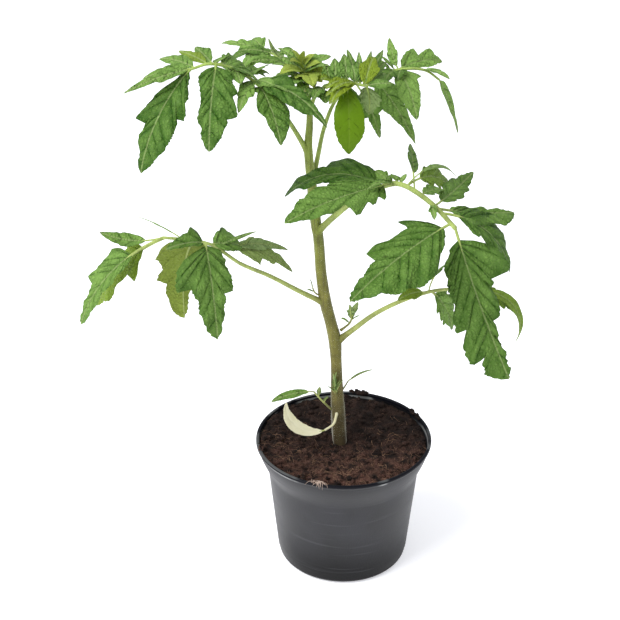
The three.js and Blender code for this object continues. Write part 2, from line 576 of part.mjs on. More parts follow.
// The rows of an outline, each with its share of the blade's length and how far the blade reaches there to
// the left and to the right. The lobes of two like halves differ a little in size.
function outlineRows(outline, seed) {
  const alike = Array.isArray(outline);
  const halves = alike ? [outline, outline] : [outline.left, outline.right];
  const [left, right] = halves.map((half, side) => {
    const size = (k) => (alike ? 1 + BLADE.unevenness * (scatter(seed + k, 2 * side - 1) - 0.5) : 1);
    return [[0, 0], ...half.map(([share, reach], k) => [share, reach * size(k)])];
  });
  const reachAt = (corners, share) => {
    const next = corners.findIndex(([there]) => there >= share);
    const [[before, low], [after, high]] = [corners[next - 1], corners[next]];
    return lerp(low, high, (share - before) / (after - before));
  };
  const shares = [...new Set(halves.flat().map(([share]) => share))].sort((a, b) => a - b);
  return shares.map((share) => [share, reachAt(left, share), reachAt(right, share)]);
}

// One leaflet as a closed solid: a round stalk that widens into a thin blade with a keel under its midrib.
function leaflet(line, form, seed) {
  const { at, tip, width, stalk, bend, roll = 0, shape = "small", fold = 12 } = form;
  const start = line.getPoint(at / (line.points.length - 1));
  const rib = midrib(start, vector(tip), radians(bend), radians(roll));
  const bare = stalk / rib.arcLength;
  const raise = Math.tan(radians(fold));
  const ribRadius = Math.min(
    BLADE.greatestStalkRadius,
    BLADE.leastStalkRadius + width * BLADE.stalkRadiusGrowth,
  );

  const stalkRing = (share) => {
    const { centre, across, normal } = rib.frame(share);
    return [150, 90, 30, -30, -90, -150].map((turn) =>
      centre
        .clone()
        .addScaledVector(across, ribRadius * Math.cos(radians(turn)))
        .addScaledVector(normal, ribRadius * Math.sin(radians(turn))),
    );
  };
  const bladeRing = ([share, reachLeft, reachRight]) => {
    const { centre, tangent, across, normal } = rib.frame(bare + (1 - bare) * share);
    const edge = (side, reachShare) => {
      const reach = Math.max(BLADE.tipHalfWidth, (width / 2) * reachShare);
      const droop = (reach * reach * BLADE.droop) / width;
      const forward = Math.min(reach * BLADE.lobeLean, (1 - share) * rib.arcLength * BLADE.greatestLean);
      return centre
        .clone()
        .addScaledVector(across, side * reach)
        .addScaledVector(tangent, forward)
        .addScaledVector(normal, reach * raise - droop);
    };
    const half = BLADE.thickness / 2;
    const lift = (point, by) => point.clone().addScaledVector(normal, by);
    const [left, right] = [edge(-1, reachLeft), edge(1, reachRight)];
    const keel = -half - ribRadius * (1 - share) ** 2;
    const upper = [lift(left, half), lift(centre, half), lift(right, half)];
    const lower = [lift(right, -half), lift(centre, keel), lift(left, -half)];
    return [...upper, ...lower];
  };
  return loft([stalkRing(0), stalkRing(bare), ...outlineRows(OUTLINES[shape], seed).map(bladeRing)]);
}

// A whole leaf: its stalk and its leaflets as one body, with its root cut clear of the main stem.
function leaf({ line, radius, leaflets }, index, stemCutter) {
  const curve = lineThrough(line);
  const steps = Math.ceil(BARS.stalkStepsPerPoint * (line.length - 1));
  const stalk = bar(curve, (share) => lerp(radius[0], radius[1], Math.sqrt(share)), steps, BARS.stalkSides);
  const joined = leaflets.reduce((body, each, k) => body.add(leaflet(curve, each, index * 10 + k)), stalk);
  return geometryOf(joined.subtract(stemCutter));
}

// ---- Pot and soil ----

// The pot's outside radius at a height.
function potOutside(z) {
  const { height, rimRadius, flareRadius, flareStart, flareCurve, footRadius } = POT;
  if (z <= flareStart) return lerp(footRadius, flareRadius, z / flareStart);
  const rise = (z - flareStart) / (height - flareStart);
  return lerp(flareRadius, rimRadius - POT.bead, Math.sin((rise * Math.PI) / 2) ** flareCurve);
}

function pot() {
  const { height, wall, wallHeights, bead, footRounding, footRadius } = POT;
  const { floorRise, floorBevel, footRingInner, padRadius, footSlope } = POT;
  const foot = [0, 0.5, 1].map((share) => {
    const turn = (share * Math.PI) / 2;
    return [footRadius - footRounding * (1 - Math.sin(turn)), footRounding * (1 - Math.cos(turn))];
  });
  const beadCentre = [POT.rimRadius - bead, height - bead];
  const lip = POT.lipTurns.map((share) => [
    beadCentre[0] + bead * Math.cos(share * Math.PI),
    beadCentre[1] + bead * Math.sin(share * Math.PI),
  ]);
  const outer = [...foot, ...wallHeights.map((z) => [potOutside(z), z]), ...lip];
  const inner = wallHeights.toReversed().map((z) => [potOutside(z) - wall, z]);
  const floor = [
    [footRadius - wall, floorRise + wall + floorBevel],
    [footRadius - wall - floorBevel, floorRise + wall],
    [padRadius + footSlope - wall / 2, floorRise + wall],
    [padRadius - wall / 2, wall],
    [0, wall],
    [0, 0],
    [padRadius, 0],
    [padRadius + footSlope, floorRise],
    [footRingInner, floorRise],
    [footRingInner + footSlope, 0],
  ];
  const profile = [...outer, ...inner, ...floor].map(([r, z]) => new THREE.Vector2(r, z));
  profile.push(profile[0].clone());
  const shell = solid(new THREE.LatheGeometry(profile, POT.sides).rotateX(Math.PI / 2));
  const drain = new THREE.CylinderGeometry(POT.holeRadius, POT.holeRadius, 4 * floorRise, POT.holeSides);
  drain.rotateX(Math.PI / 2);
  let drained = shell;
  for (let k = 0; k < POT.holes; k++) {
    const turn = (2 * Math.PI * (k + 0.5)) / POT.holes;
    const [x, y] = [POT.holeCircle * Math.cos(turn), POT.holeCircle * Math.sin(turn)];
    drained = drained.subtract(solid(drain.clone().translate(x, y, floorRise)));
  }
  return geometryOf(drained);
}

// The soil's height at a place: heaped towards the back, with clods.
function soilTop(radius, turn) {
  const x = radius * Math.cos(turn);
  const y = radius * Math.sin(turn);
  const { wave, wander, wanderWave } = SOIL;
  const alongX = Math.sin(x * wave.x + wander.y * Math.sin(y * wanderWave.y));
  const alongY = Math.cos(y * wave.y + wander.x * Math.sin(x * wanderWave.x));
  return SOIL.level + (SOIL.lump / 2) * alongX * alongY + (SOIL.moundBack * y) / POT.rimRadius;
}

function soil(stemCutter) {
  const { gap, rings, bevel } = SOIL;
  const { sides } = POT;
  const floorTop = POT.floorRise + POT.wall + gap;
  const insideAt = (z) => potOutside(z) - POT.wall - gap;
  const bottomRadius = POT.footRadius - POT.wall - gap;
  const skirt = [
    [bottomRadius - bevel, floorTop],
    [bottomRadius, floorTop + bevel],
    ...POT.wallHeights.slice(0, -1).map((z) => [insideAt(z), z]),
  ];
  const edge = insideAt(SOIL.edgeHeight);
  const points = [];
  const ringOf = (radius, heightAt) => {
    for (let k = 0; k < sides; k++) {
      const turn = (2 * Math.PI * k) / sides;
      points.push(new THREE.Vector3(radius * Math.cos(turn), radius * Math.sin(turn), heightAt(turn)));
    }
  };
  skirt.forEach(([radius, z]) => ringOf(radius, () => z));
  for (let ring = rings; ring >= 1; ring--) {
    const radius = (edge * ring) / rings;
    ringOf(radius, (turn) => Math.min(SOIL.highest, soilTop(radius, turn)));
  }
  const triangles = [];
  const ringCount = skirt.length + rings;
  for (let i = 0; i + 1 < ringCount; i++)
    for (let k = 0; k < sides; k++) {
      const [a, b] = [i * sides + k, i * sides + ((k + 1) % sides)];
      triangles.push(a, b, b + sides, a, b + sides, a + sides);
    }
  const [bottom, top] = [points.length, points.length + 1];
  points.push(new THREE.Vector3(0, 0, floorTop), new THREE.Vector3(0, 0, soilTop(0, 0)));
  for (let k = 0; k < sides; k++) {
    const next = (k + 1) % sides;
    const last = (ringCount - 1) * sides;
    triangles.push(bottom, next, k, top, last + k, last + next);
  }
  const geometry = new THREE.BufferGeometry().setFromPoints(points);
  geometry.setIndex(triangles);
  return geometryOf(solid(geometry).subtract(stemCutter));
}

// ---- The whole plant ----

const plant = new THREE.Group();

function addPiece(name, geometry, colour) {
  const material = new THREE.MeshStandardMaterial({ ...COLOURS[colour], metalness: 0 });
  const mesh = new THREE.Mesh(geometry, material);
  mesh.name = name;
  plant.add(mesh);
}

const stemCutter = stem(FIT_GAP);
addPiece("pot", pot(), "pot");
addPiece("soil", soil(stemCutter), "soil");
addPiece("main_stem", geometryOf(stem(0)), "stem");
LEAVES.forEach((each, index) => {
  addPiece(each.name, leaf(each, index, stemCutter), LEAF_COLOURS[each.name] ?? "leaf");
});

export default plant;
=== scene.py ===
# %% [markdown]
# # A young tomato plant in a pot
#
# This lesson turns a plain solid model of a potted tomato plant into one that looks alive. The solid model
# is the frame: it says where the pot, the soil, the stem and every leaf are. It is in metres, with +Z up
# and the front towards -Y, and it stands on the middle of the pot's foot. For each part of the frame, one
# piece made below takes its place and keeps to its form. Leaflets, hairs, crumbs and fibres go with them.

# %% Load the frame
import math
import random

import bpy
import numpy as np
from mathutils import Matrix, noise


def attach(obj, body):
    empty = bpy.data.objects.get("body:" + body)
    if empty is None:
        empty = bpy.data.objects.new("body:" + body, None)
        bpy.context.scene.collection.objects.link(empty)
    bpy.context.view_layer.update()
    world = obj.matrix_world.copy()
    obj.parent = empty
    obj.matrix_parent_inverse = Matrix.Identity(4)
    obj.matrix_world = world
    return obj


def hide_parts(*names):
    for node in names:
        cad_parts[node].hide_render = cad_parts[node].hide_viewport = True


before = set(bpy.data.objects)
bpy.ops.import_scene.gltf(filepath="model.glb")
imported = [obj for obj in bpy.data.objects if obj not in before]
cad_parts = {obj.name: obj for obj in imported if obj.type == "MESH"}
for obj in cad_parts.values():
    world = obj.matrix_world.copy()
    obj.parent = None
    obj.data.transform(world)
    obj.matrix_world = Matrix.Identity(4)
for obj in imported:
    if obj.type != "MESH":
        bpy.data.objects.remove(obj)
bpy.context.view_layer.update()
print("parts in the frame:", len(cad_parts))

# %% [markdown]
# ## Lengths, colours and a way to make pieces
#
# A plant this size is easiest to describe in millimetres, so all points below are in millimetres and are
# scaled once, when the mesh is made. Colours are easiest to judge as a screen shows them, from 0 to 255,
# but shaders work with linear light, so one small function turns the first into the second.
#
# A mesh can be made with Blender's operators, with bmesh, or straight from lists of points and faces. The
# last way suits forms that come from a formula, and it is fast for the many thousands of small faces that
# leaves and soil need. Numbers can be stored on each point, and a shader can read them back by name.

# %% Helpers for colours and meshes
MM = 0.001


def srgb(red, green, blue):
    """The linear colour of a screen colour whose parts run from 0 to 255."""
    parts = [value / 255 for value in (red, green, blue)]
    return [v / 12.92 if v <= 0.04045 else ((v + 0.055) / 1.055) ** 2.4 for v in parts] + [1.0]


def make_piece(name, points, faces, materials, slot, node=None, face_material=None, numbers=None):
    """A smooth-shaded mesh piece from points in millimetres. numbers holds one list of values by name."""
    mesh = bpy.data.meshes.new(name)
    mesh.from_pydata((np.asarray(points) * MM).tolist(), [], faces)
    for material in materials:
        mesh.materials.append(material)
    if face_material is not None:
        mesh.polygons.foreach_set("material_index", np.asarray(face_material, dtype=np.int32))
    mesh.polygons.foreach_set("use_smooth", np.ones(len(mesh.polygons), dtype=bool))
    for key, values in (numbers or {}).items():
        field = mesh.attributes.new(key, "FLOAT", "POINT")
        field.data.foreach_set("value", np.asarray(values, dtype=np.float32).ravel())
    mesh.update()
    made = bpy.data.objects.new(name, mesh)
    bpy.context.scene.collection.objects.link(made)
    if node:
        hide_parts(node)
    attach(made, "root")
    return made


# %% [markdown]
# ## Wiring shaders
#
# A material is a small net of nodes. Building one by hand in a script takes many lines, so a few short
# helpers add a node, set or link its inputs, and mix colours. Each input is given either a plain value or
# the output of another node.

# %% Helpers for node trees
def feed(tree, socket, value):
    """Links value to the socket if it is an output of another node, or else sets it."""
    if isinstance(value, bpy.types.NodeSocket):
        tree.links.new(value, socket)
    else:
        socket.default_value = value


def add_node(tree, kind, inputs=None, **settings):
    """A new node with its settings, and its inputs fed by name."""
    node = tree.nodes.new(kind)
    for key, value in settings.items():
        setattr(node, key, value)
    for key, value in (inputs or {}).items():
        feed(tree, node.inputs[key], value)
    return node


def calculate(tree, operation, *values):
    """One step of arithmetic."""
    node = tree.nodes.new("ShaderNodeMath")
    node.operation = operation
    for socket, value in zip(node.inputs, values):
        feed(tree, socket, value)
    return node.outputs[0]


def ease(tree, value, low, high, start=0.0, end=1.0):
    """start where value is low, end where it is high, and a soft step between."""
    inputs = {"Value": value, "From Min": low, "From Max": high, "To Min": start, "To Max": end}
    node = add_node(tree, "ShaderNodeMapRange", inputs, interpolation_type="SMOOTHSTEP")
    return node.outputs["Result"]


def mix_colours(tree, share, first, second, kind="MIX"):
    """first where share is 0, second where it is 1."""
    node = tree.nodes.new("ShaderNodeMix")
    node.data_type = "RGBA"
    node.blend_type = kind
    colours = [socket for socket in node.inputs if socket.type == "RGBA"]
    feed(tree, node.inputs[0], share)
    feed(tree, colours[0], first)
    feed(tree, colours[1], second)
    return next(socket for socket in node.outputs if socket.type == "RGBA")


def new_group(name, inputs, outputs):
    """An empty node group. inputs maps a socket's name to its default, and outputs lists names."""
    tree = bpy.data.node_groups.new(name, "ShaderNodeTree")
    for key, value in inputs.items():
        socket = tree.interface.new_socket(key, in_out="INPUT", socket_type="NodeSocketFloat")
        socket.default_value = value
    for key in outputs:
        tree.interface.new_socket(key, in_out="OUTPUT", socket_type="NodeSocketFloat")
    return tree, tree.nodes.new("NodeGroupInput").outputs, tree.nodes.new("NodeGroupOutput").inputs


def place_group(tree, group, **values):
    """A node group in a material, with its own values. An underscore stands for a space."""
    node = tree.nodes.new("ShaderNodeGroup")
    node.node_tree = group
    for key, value in values.items():
        feed(tree, node.inputs[key.replace("_", " ")], value)
    return node.outputs


def new_material(name, **values):
    """A material, its node tree and its Principled shader. values sets the shader's plain inputs."""
    material = bpy.data.materials.new(name)
    material.use_nodes = True
    tree = material.node_tree
    shader = tree.nodes["Principled BSDF"]
    for key, value in values.items():
        shader.inputs[key.replace("_", " ")].default_value = value
    return material, tree, shader


# %% [markdown]
# ## Mottling, used by every surface
#
# Nothing on a living plant or in its pot has one even colour. Soft patches of two sizes break the colour up:
# broad ones, as where a leaf is older or a pot is dusty, and fine ones, like cells or grains. Because every
# material below needs it, the effect is one node group with the two sizes as inputs. It could also be a
# picture wrapped round each piece, but noise in space needs no unwrapping and never shows a seam.

# %% The mottling group
mottling, given, gives = new_group("mottling", {"Broad": 60.0, "Fine": 600.0}, ["Patches", "Grain"])
spot = mottling.nodes.new("ShaderNodeTexCoord").outputs["Object"]
broad = add_node(mottling, "ShaderNodeTexNoise", {"Vector": spot, "Scale": given["Broad"], "Detail": 3.0})
fine = add_node(mottling, "ShaderNodeTexNoise", {"Vector": spot, "Scale": given["Fine"], "Detail": 4.0})
feed(mottling, gives["Patches"], ease(mottling, broad.outputs["Fac"], 0.3, 0.7))
feed(mottling, gives["Grain"], ease(mottling, fine.outputs["Fac"], 0.3, 0.7))
print("group:", mottling.name, "gives", [socket.name for socket in gives if socket.name])

# %% [markdown]
# ## The pot
#
# A nursery pot is thin black plastic, pressed in a mould. Its wall leans out gently, flares near the top and
# ends in a rolled lip, and its foot is a ring with a pad in the middle and drain holes between. A shape
# turned about an axis is made fastest from its profile: the line down the outside, over the lip, down the
# inside and across the floor. Blender's Screw or Spin tools would do, but turning the profile in code
# leaves room to let the lip wander a little, as thin plastic does.

# %% The pot's measures and profile
POT_HEIGHT = 100
RIM_RADIUS = 65
LIP_OVERHANG = 1.1
FLARE_RADIUS = 56
FLARE_START = 74
FLARE_CURVE = 1.4
FOOT_RADIUS = 48.5
FOOT_ROUNDING = 5
WALL = 1.2
LIP_HEIGHT = 2.4
LIP_ROUNDING = 0.8
FLOOR_RISE = 3
PAD_RADIUS = 11.4
RING_INSIDE = 40.4


def pot_outside(z):
    """The radius of the pot's outside at a height."""
    if z <= FLARE_START:
        return FOOT_RADIUS + (FLARE_RADIUS - FOOT_RADIUS) * z / FLARE_START
    rise = (z - FLARE_START) / (POT_HEIGHT - FLARE_START)
    widest = RIM_RADIUS - LIP_OVERHANG
    return FLARE_RADIUS + (widest - FLARE_RADIUS) * math.sin(rise * math.pi / 2) ** FLARE_CURVE


def arc(centre, radius, first, last, steps):
    """Points on part of a circle in the profile. Angles are in degrees, from straight out to straight up."""
    turns = np.radians(np.linspace(first, last, steps + 1))
    return [(centre[0] + radius * math.cos(t), centre[1] + radius * math.sin(t)) for t in turns]


lip_bottom = POT_HEIGHT - LIP_HEIGHT
profile = arc((FOOT_RADIUS - FOOT_ROUNDING, FOOT_ROUNDING), FOOT_ROUNDING, -90, 0, 8)
profile += [(pot_outside(z), z) for z in np.linspace(8, FLARE_START, 14)]
profile += [(pot_outside(z), z) for z in np.linspace(FLARE_START + 2, lip_bottom, 12)]
profile += arc((RIM_RADIUS - LIP_ROUNDING, lip_bottom + LIP_ROUNDING), LIP_ROUNDING, -90, 0, 4)
profile += arc((RIM_RADIUS - LIP_ROUNDING, POT_HEIGHT - LIP_ROUNDING), LIP_ROUNDING, 0, 90, 5)
inside_top = pot_outside(POT_HEIGHT - 2) - WALL
profile += arc((inside_top + LIP_ROUNDING, POT_HEIGHT - LIP_ROUNDING), LIP_ROUNDING, 90, 180, 5)
profile += [(pot_outside(z) - WALL, z) for z in np.linspace(POT_HEIGHT - 2, 8, 26)]
profile += [(FOOT_RADIUS - WALL - 0.4, 5.6), (FOOT_RADIUS - WALL - 3, FLOOR_RISE + WALL)]
profile += [(13.4, FLOOR_RISE + WALL), (PAD_RADIUS, WALL), (0, WALL)]
profile += [(0, 0), (PAD_RADIUS, 0), (12, 0.2), (13.8, 2.8), (14.4, FLOOR_RISE)]
profile += [(37.6, FLOOR_RISE), (38.2, 2.8), (39.8, 0.2), (RING_INSIDE, 0)]
print("points in the pot's profile:", len(profile))

# %% [markdown]
# The lip of a filled pot is never a perfect circle, because the wall gives. A slow wave, under half a
# millimetre, grows from nothing at mid height to its full size at the lip.

# %% Turn the profile into the pot
POT_SIDES = 180
GIVE_FROM = 55
FLOOR_MIDDLE = 20
OVAL = 0.28
WAVES = 0.14


def turn_profile(profile, sides):
    """Points and faces of the closed profile turned about the upright axis."""
    points = []
    for radius, z in profile:
        for k in range(sides):
            turn = 2 * math.pi * k / sides
            give = max(0.0, (z - GIVE_FROM) / (POT_HEIGHT - GIVE_FROM)) ** 2 if radius > FLOOR_MIDDLE else 0.0
            wander = give * (OVAL * math.sin(2 * turn + 0.6) + WAVES * math.sin(5 * turn + 2.0))
            points.append(((radius + wander) * math.cos(turn), (radius + wander) * math.sin(turn), z))
    faces = []
    rows = len(profile)
    for i in range(rows):
        below, above = i * sides, (i + 1) % rows * sides
        if profile[i][0] == 0 and profile[(i + 1) % rows][0] == 0:
            continue
        for k in range(sides):
            n = (k + 1) % sides
            faces.append((below + k, below + n, above + n, above + k))
    return points, faces


def weld(made, distance=1e-6):
    """Joins corners of a mesh that lie on one spot, and turns its faces outwards."""
    import bmesh

    work = bmesh.new()
    work.from_mesh(made.data)
    bmesh.ops.remove_doubles(work, verts=work.verts, dist=distance)
    bmesh.ops.recalc_face_normals(work, faces=work.faces)
    work.to_mesh(made.data)
    work.free()


# %% [markdown]
# ## Pot plastic
#
# The plastic is a very dark grey with a soft shine. Towards the foot it carries painted shade: its colour
# darkens and its shine dulls. Handling leaves it duller in patches and faintly scratched round the wall. The
# lip is painted nearly black as shade, with a painted highlight along its crest and a pale, broken line under
# its edge. The scratches are noise squeezed upright, so that it spreads out round the pot. The height on the
# wall says where the foot and the lip are, and the mottling breaks the pale lines up. A painted picture would
# give the same wear and painted light, but it would have to be wrapped round the wall first.

# %% The pot's material
# Heights in metres between which a band of the wall begins or ends.
SHADED_FOOT = (0.0, 0.055)
SHADED_LIP = (0.0972, 0.0986)
UNDER_LIP = (0.0955, 0.0963)
UNDER_LIP_END = (0.0974, 0.0982)
LIP_CREST_HIGHLIGHT = (0.0993, 0.0998)
pot_plastic, tree, shader = new_material("pot_plastic", **{"Specular_IOR_Level": 0.4})
marks = place_group(tree, mottling, Broad=28.0, Fine=900.0)
spot = tree.nodes.new("ShaderNodeTexCoord").outputs["Object"]
squeezed = add_node(tree, "ShaderNodeVectorMath", {0: spot, 1: (14.0, 14.0, 420.0)}, operation="MULTIPLY")
streaks = add_node(tree, "ShaderNodeTexNoise", {"Vector": squeezed.outputs[0], "Scale": 1.0, "Detail": 4.0})
scratches = ease(tree, streaks.outputs["Fac"], 0.56, 0.74)
height = add_node(tree, "ShaderNodeSeparateXYZ", {"Vector": spot}).outputs["Z"]
# Painted shade: the band of the lip is made nearly black.
lip_shade = ease(tree, height, *SHADED_LIP)
# A pale, broken line under the lip's edge, broken up by the mottling.
on_edge = calculate(
    tree, "MULTIPLY", ease(tree, height, *UNDER_LIP), ease(tree, height, *UNDER_LIP_END, 1.0, 0.0)
)
under_lip_line = calculate(tree, "MULTIPLY", on_edge, ease(tree, marks["Patches"], 0.3, 0.6, 0.0, 0.6))
body = mix_colours(tree, marks["Patches"], srgb(20, 20, 23), srgb(38, 38, 43))
# Painted shade: the wall's colour darkens towards the foot.
foot_shade = ease(tree, height, *SHADED_FOOT, 1.0, 0.0)
body = mix_colours(tree, calculate(tree, "MULTIPLY", foot_shade, 0.95), body, srgb(4, 4, 5))
wear_and_painted_light = mix_colours(tree, calculate(tree, "MULTIPLY", scratches, 0.2), body, srgb(100, 100, 104))
wear_and_painted_light = mix_colours(tree, lip_shade, wear_and_painted_light, srgb(14, 15, 22))
broken = ease(tree, marks["Patches"], 0.35, 0.6, 0.0, 0.5)
# Painted highlight: a pale, broken line along the lip's crest.
crest_highlight = calculate(tree, "MULTIPLY", ease(tree, height, *LIP_CREST_HIGHLIGHT), broken)
wear_and_painted_light = mix_colours(tree, crest_highlight, wear_and_painted_light, srgb(112, 114, 114))
feed(tree, shader.inputs["Base Color"], mix_colours(tree, under_lip_line, wear_and_painted_light, srgb(176, 178, 176)))
matt = calculate(tree, "MAXIMUM", lip_shade, calculate(tree, "MULTIPLY", foot_shade, 0.8))
feed(tree, shader.inputs["Specular IOR Level"], calculate(tree, "MULTIPLY_ADD", matt, -0.3, 0.4))
dull = calculate(tree, "MULTIPLY_ADD", marks["Patches"], 0.12, 0.36)
feed(tree, shader.inputs["Roughness"], calculate(tree, "MULTIPLY_ADD", scratches, 0.14, dull))
relief = calculate(tree, "MULTIPLY_ADD", scratches, -0.5, marks["Grain"])
bump = add_node(tree, "ShaderNodeBump", {"Height": relief, "Strength": 0.25, "Distance": 0.00012})
feed(tree, shader.inputs["Normal"], bump.outputs["Normal"])
print("material:", pot_plastic.name, "with", len(tree.nodes), "nodes")

# %% [markdown]
# The drain holes are cut with a Boolean modifier: eight rods stand through the raised ring of the floor,
# and the modifier takes them away. Its result is written into the mesh, and the rods are deleted.

# %% Make the pot and cut its drain holes
HOLES = 8
HOLE_RADIUS = 3.4
HOLE_CIRCLE = 31
ROD_BOTTOM = 1
ROD_TOP = 7


def drill(made, centres, radius, bottom, top):
    """Cuts upright round holes through a piece. All lengths are in millimetres."""
    points, faces = [], []
    sides = 24
    for x, y in centres:
        first = len(points)
        for z in (bottom, top):
            for k in range(sides):
                turn = 2 * math.pi * k / sides
                points.append((x + radius * math.cos(turn), y + radius * math.sin(turn), z))
        faces += [
            (first + k, first + (k + 1) % sides, first + sides + (k + 1) % sides, first + sides + k)
            for k in range(sides)
        ]
        faces.append(tuple(range(first + sides - 1, first - 1, -1)))
        faces.append(tuple(range(first + sides, first + 2 * sides)))
    mesh = bpy.data.meshes.new("rods")
    mesh.from_pydata((np.asarray(points) * MM).tolist(), [], faces)
    rods = bpy.data.objects.new("rods", mesh)
    bpy.context.scene.collection.objects.link(rods)
    cut = made.modifiers.new("holes", "BOOLEAN")
    cut.operation = "DIFFERENCE"
    cut.object = rods
    made_now = made.evaluated_get(bpy.context.evaluated_depsgraph_get())
    drilled = bpy.data.meshes.new_from_object(made_now)
    made.modifiers.clear()
    made.data = drilled
    bpy.data.objects.remove(rods)


pot = make_piece("pot_wall_and_floor", *turn_profile(profile, POT_SIDES), [pot_plastic], "pot_plastic", "pot")
weld(pot)
turns = [2 * math.pi * (k + 0.5) / HOLES for k in range(HOLES)]
hole_centres = [(HOLE_CIRCLE * math.cos(t), HOLE_CIRCLE * math.sin(t)) for t in turns]
drill(pot, hole_centres, HOLE_RADIUS, ROD_BOTTOM, ROD_TOP)
print("faces in the pot:", len(pot.data.polygons))

# %% [markdown]
# ## Peat soil
#
# Potting soil is peat: a dark, crumbly felt of fibres. Three layers give that look. The first is the body,
# a disc whose top is pushed up and down by noise of several sizes. The second is loose crumbs, small lumps
# strewn on it. The third is fibres, thin curved threads that catch the light. A displacement in the
# material could fake the first, but real relief also shows at the edge and in an exported mesh.
#
# The top isn't level. It lies higher at the back than in front, it is banked against the wall on the left,
# and a low mound stands round the stem. One function gives the height anywhere, so that crumbs and fibres
# can lie on it too.

# %% The soil's height
SOIL_LEVEL = 95
SOIL_LUMP = 1.8
CLODS = 1.3
GRAINS = 1.3
MOUND_BACK = 2.6
MOUND_LEFT = 2.6
LEFT_FROM = 34
LEFT_WIDTH = 26
MOUND_STEM = 0.8
STEM_FOOT = (-3, 0)
STEM_MOUND_WIDTH = 9
SOIL_TOP = 99


def soil_height(x, y):
    """The height of the soil's top, in millimetres, with clods and grains."""
    wave = math.sin(x * 0.19 + 1.3 * math.sin(y * 0.13)) * math.cos(y * 0.21 + 0.9 * math.sin(x * 0.11))
    level = SOIL_LEVEL + SOIL_LUMP / 2 * wave + MOUND_BACK * y / RIM_RADIUS
    clods = noise.fractal((x * 0.16, y * 0.16, 3.7), 0.7, 2.2, 3)
    grains = noise.turbulence((x * 0.55, y * 0.55, 9.1), 3, True)
    beside_stem = math.exp(-(math.hypot(x - STEM_FOOT[0], y - STEM_FOOT[1]) / STEM_MOUND_WIDTH) ** 2)
    banked = MOUND_LEFT * max(0, min(1, (-x - LEFT_FROM) / LEFT_WIDTH))
    height = level + CLODS * clods + GRAINS * (grains - 0.6) + MOUND_STEM * beside_stem + banked
    return min(SOIL_TOP, height)


print("soil height in the middle:", round(soil_height(0, 0), 2), "mm")

# %% [markdown]
# The soil's colour runs from nearly black where it is damp to a reddish brown where it has dried, and it is
# paler towards the front. The mottling group gives both its patches and its bump. One material is enough
# for the body and the crumbs. The threads have two of their own: a brown one for those in the peat, and a
# paler one for the dry ones on the lip.

# %% The soil's materials
# From front to back, in metres, the dry parts turn from pale to dark between these two.
PALER_TOWARDS_FRONT = (-0.05, 0.02)
peat, tree, shader = new_material("peat", Roughness=0.95, **{"Specular_IOR_Level": 0.25})
marks = place_group(tree, mottling, Broad=150.0, Fine=1500.0)
spot = add_node(tree, "ShaderNodeTexCoord").outputs["Object"]
depth = add_node(tree, "ShaderNodeSeparateXYZ", {"Vector": spot}).outputs["Y"]
front = ease(tree, depth, *PALER_TOWARDS_FRONT, 1.0, 0.0)
dry = mix_colours(tree, front, srgb(70, 53, 46), srgb(128, 94, 82))
damp = mix_colours(tree, marks["Patches"], srgb(36, 27, 24), dry)
feed(tree, shader.inputs["Base Color"], mix_colours(tree, marks["Grain"], damp, srgb(92, 66, 52), "OVERLAY"))
bump = add_node(tree, "ShaderNodeBump", {"Height": marks["Grain"], "Strength": 0.8, "Distance": 0.0006})
feed(tree, shader.inputs["Normal"], bump.outputs["Normal"])


def fibre_material(name, dark, light):
    """A dull material for threads, between two colours."""
    material, tree, shader = new_material(name, Roughness=0.85)
    marks = place_group(tree, mottling, Broad=90.0, Fine=1100.0)
    feed(tree, shader.inputs["Base Color"], mix_colours(tree, marks["Patches"], srgb(*dark), srgb(*light)))
    bump = add_node(tree, "ShaderNodeBump", {"Height": marks["Grain"], "Strength": 0.5, "Distance": 0.0001})
    feed(tree, shader.inputs["Normal"], bump.outputs["Normal"])
    return material


peat_fibre = fibre_material("peat_fibre", (76, 52, 40), (146, 112, 88))
dry_fibre = fibre_material("dry_fibre", (124, 102, 88), (204, 182, 168))
print("materials:", peat.name, peat_fibre.name, dry_fibre.name)

# %% [markdown]
# The soil fills the pot down to its floor. Rings of points climb inside the wall, a hair's breadth from it,
# and go on over the top to the middle, where each point takes its height from the function above. A grid
# would be as easy for the top, but rings fit a round wall.

# %% The soil's body
SOIL_SIDES = 300
SOIL_RINGS = 84
SOIL_BEVEL = 4
SOIL_GAP = 0.3
EDGE_GAP = 0.25


def soil_body():
    """Points and faces of the soil: a skirt inside the pot and the uneven top."""
    inside = FOOT_RADIUS - WALL - SOIL_GAP
    floor_top = FLOOR_RISE + WALL + SOIL_GAP
    skirt = [(inside - SOIL_BEVEL, floor_top), (inside, floor_top + SOIL_BEVEL)]
    skirt += [(pot_outside(z) - WALL - SOIL_GAP, z) for z in (40, 60, 74, 80, 85, 89)]
    edge = pot_outside(93) - WALL - EDGE_GAP
    radii = [edge * share**0.9 for share in np.linspace(1, 0.012, SOIL_RINGS)]
    points, faces = [], []
    for radius, z in skirt + [(radius, None) for radius in radii]:
        for k in range(SOIL_SIDES):
            turn = 2 * math.pi * k / SOIL_SIDES
            x, y = radius * math.cos(turn), radius * math.sin(turn)
            points.append((x, y, soil_height(x, y) if z is None else z))
    rows = len(skirt) + len(radii)
    for i in range(rows - 1):
        for k in range(SOIL_SIDES):
            n = (k + 1) % SOIL_SIDES
            low, high = i * SOIL_SIDES, (i + 1) * SOIL_SIDES
            faces.append((low + k, low + n, high + n, high + k))
    faces.append(tuple(range(SOIL_SIDES - 1, -1, -1)))
    faces.append(tuple(range((rows - 1) * SOIL_SIDES, rows * SOIL_SIDES)))
    return points, faces


soil = make_piece("soil_body", *soil_body(), [peat], "peat", "soil")
print("faces in the soil:", len(soil.data.polygons))

# %% [markdown]
# Crumbs are small balls with eighty faces, squashed and dented by noise so that no two are alike. They are
# gathered into one mesh, because a thousand separate objects would be slow and of no use. A few sit on the
# lip, most of them at the back and on the right, where soil was spilt when the pot was filled. Each row of
# the table says where on the lip they lie, in degrees from the right over the back, how many there are, and
# the radius of the largest.

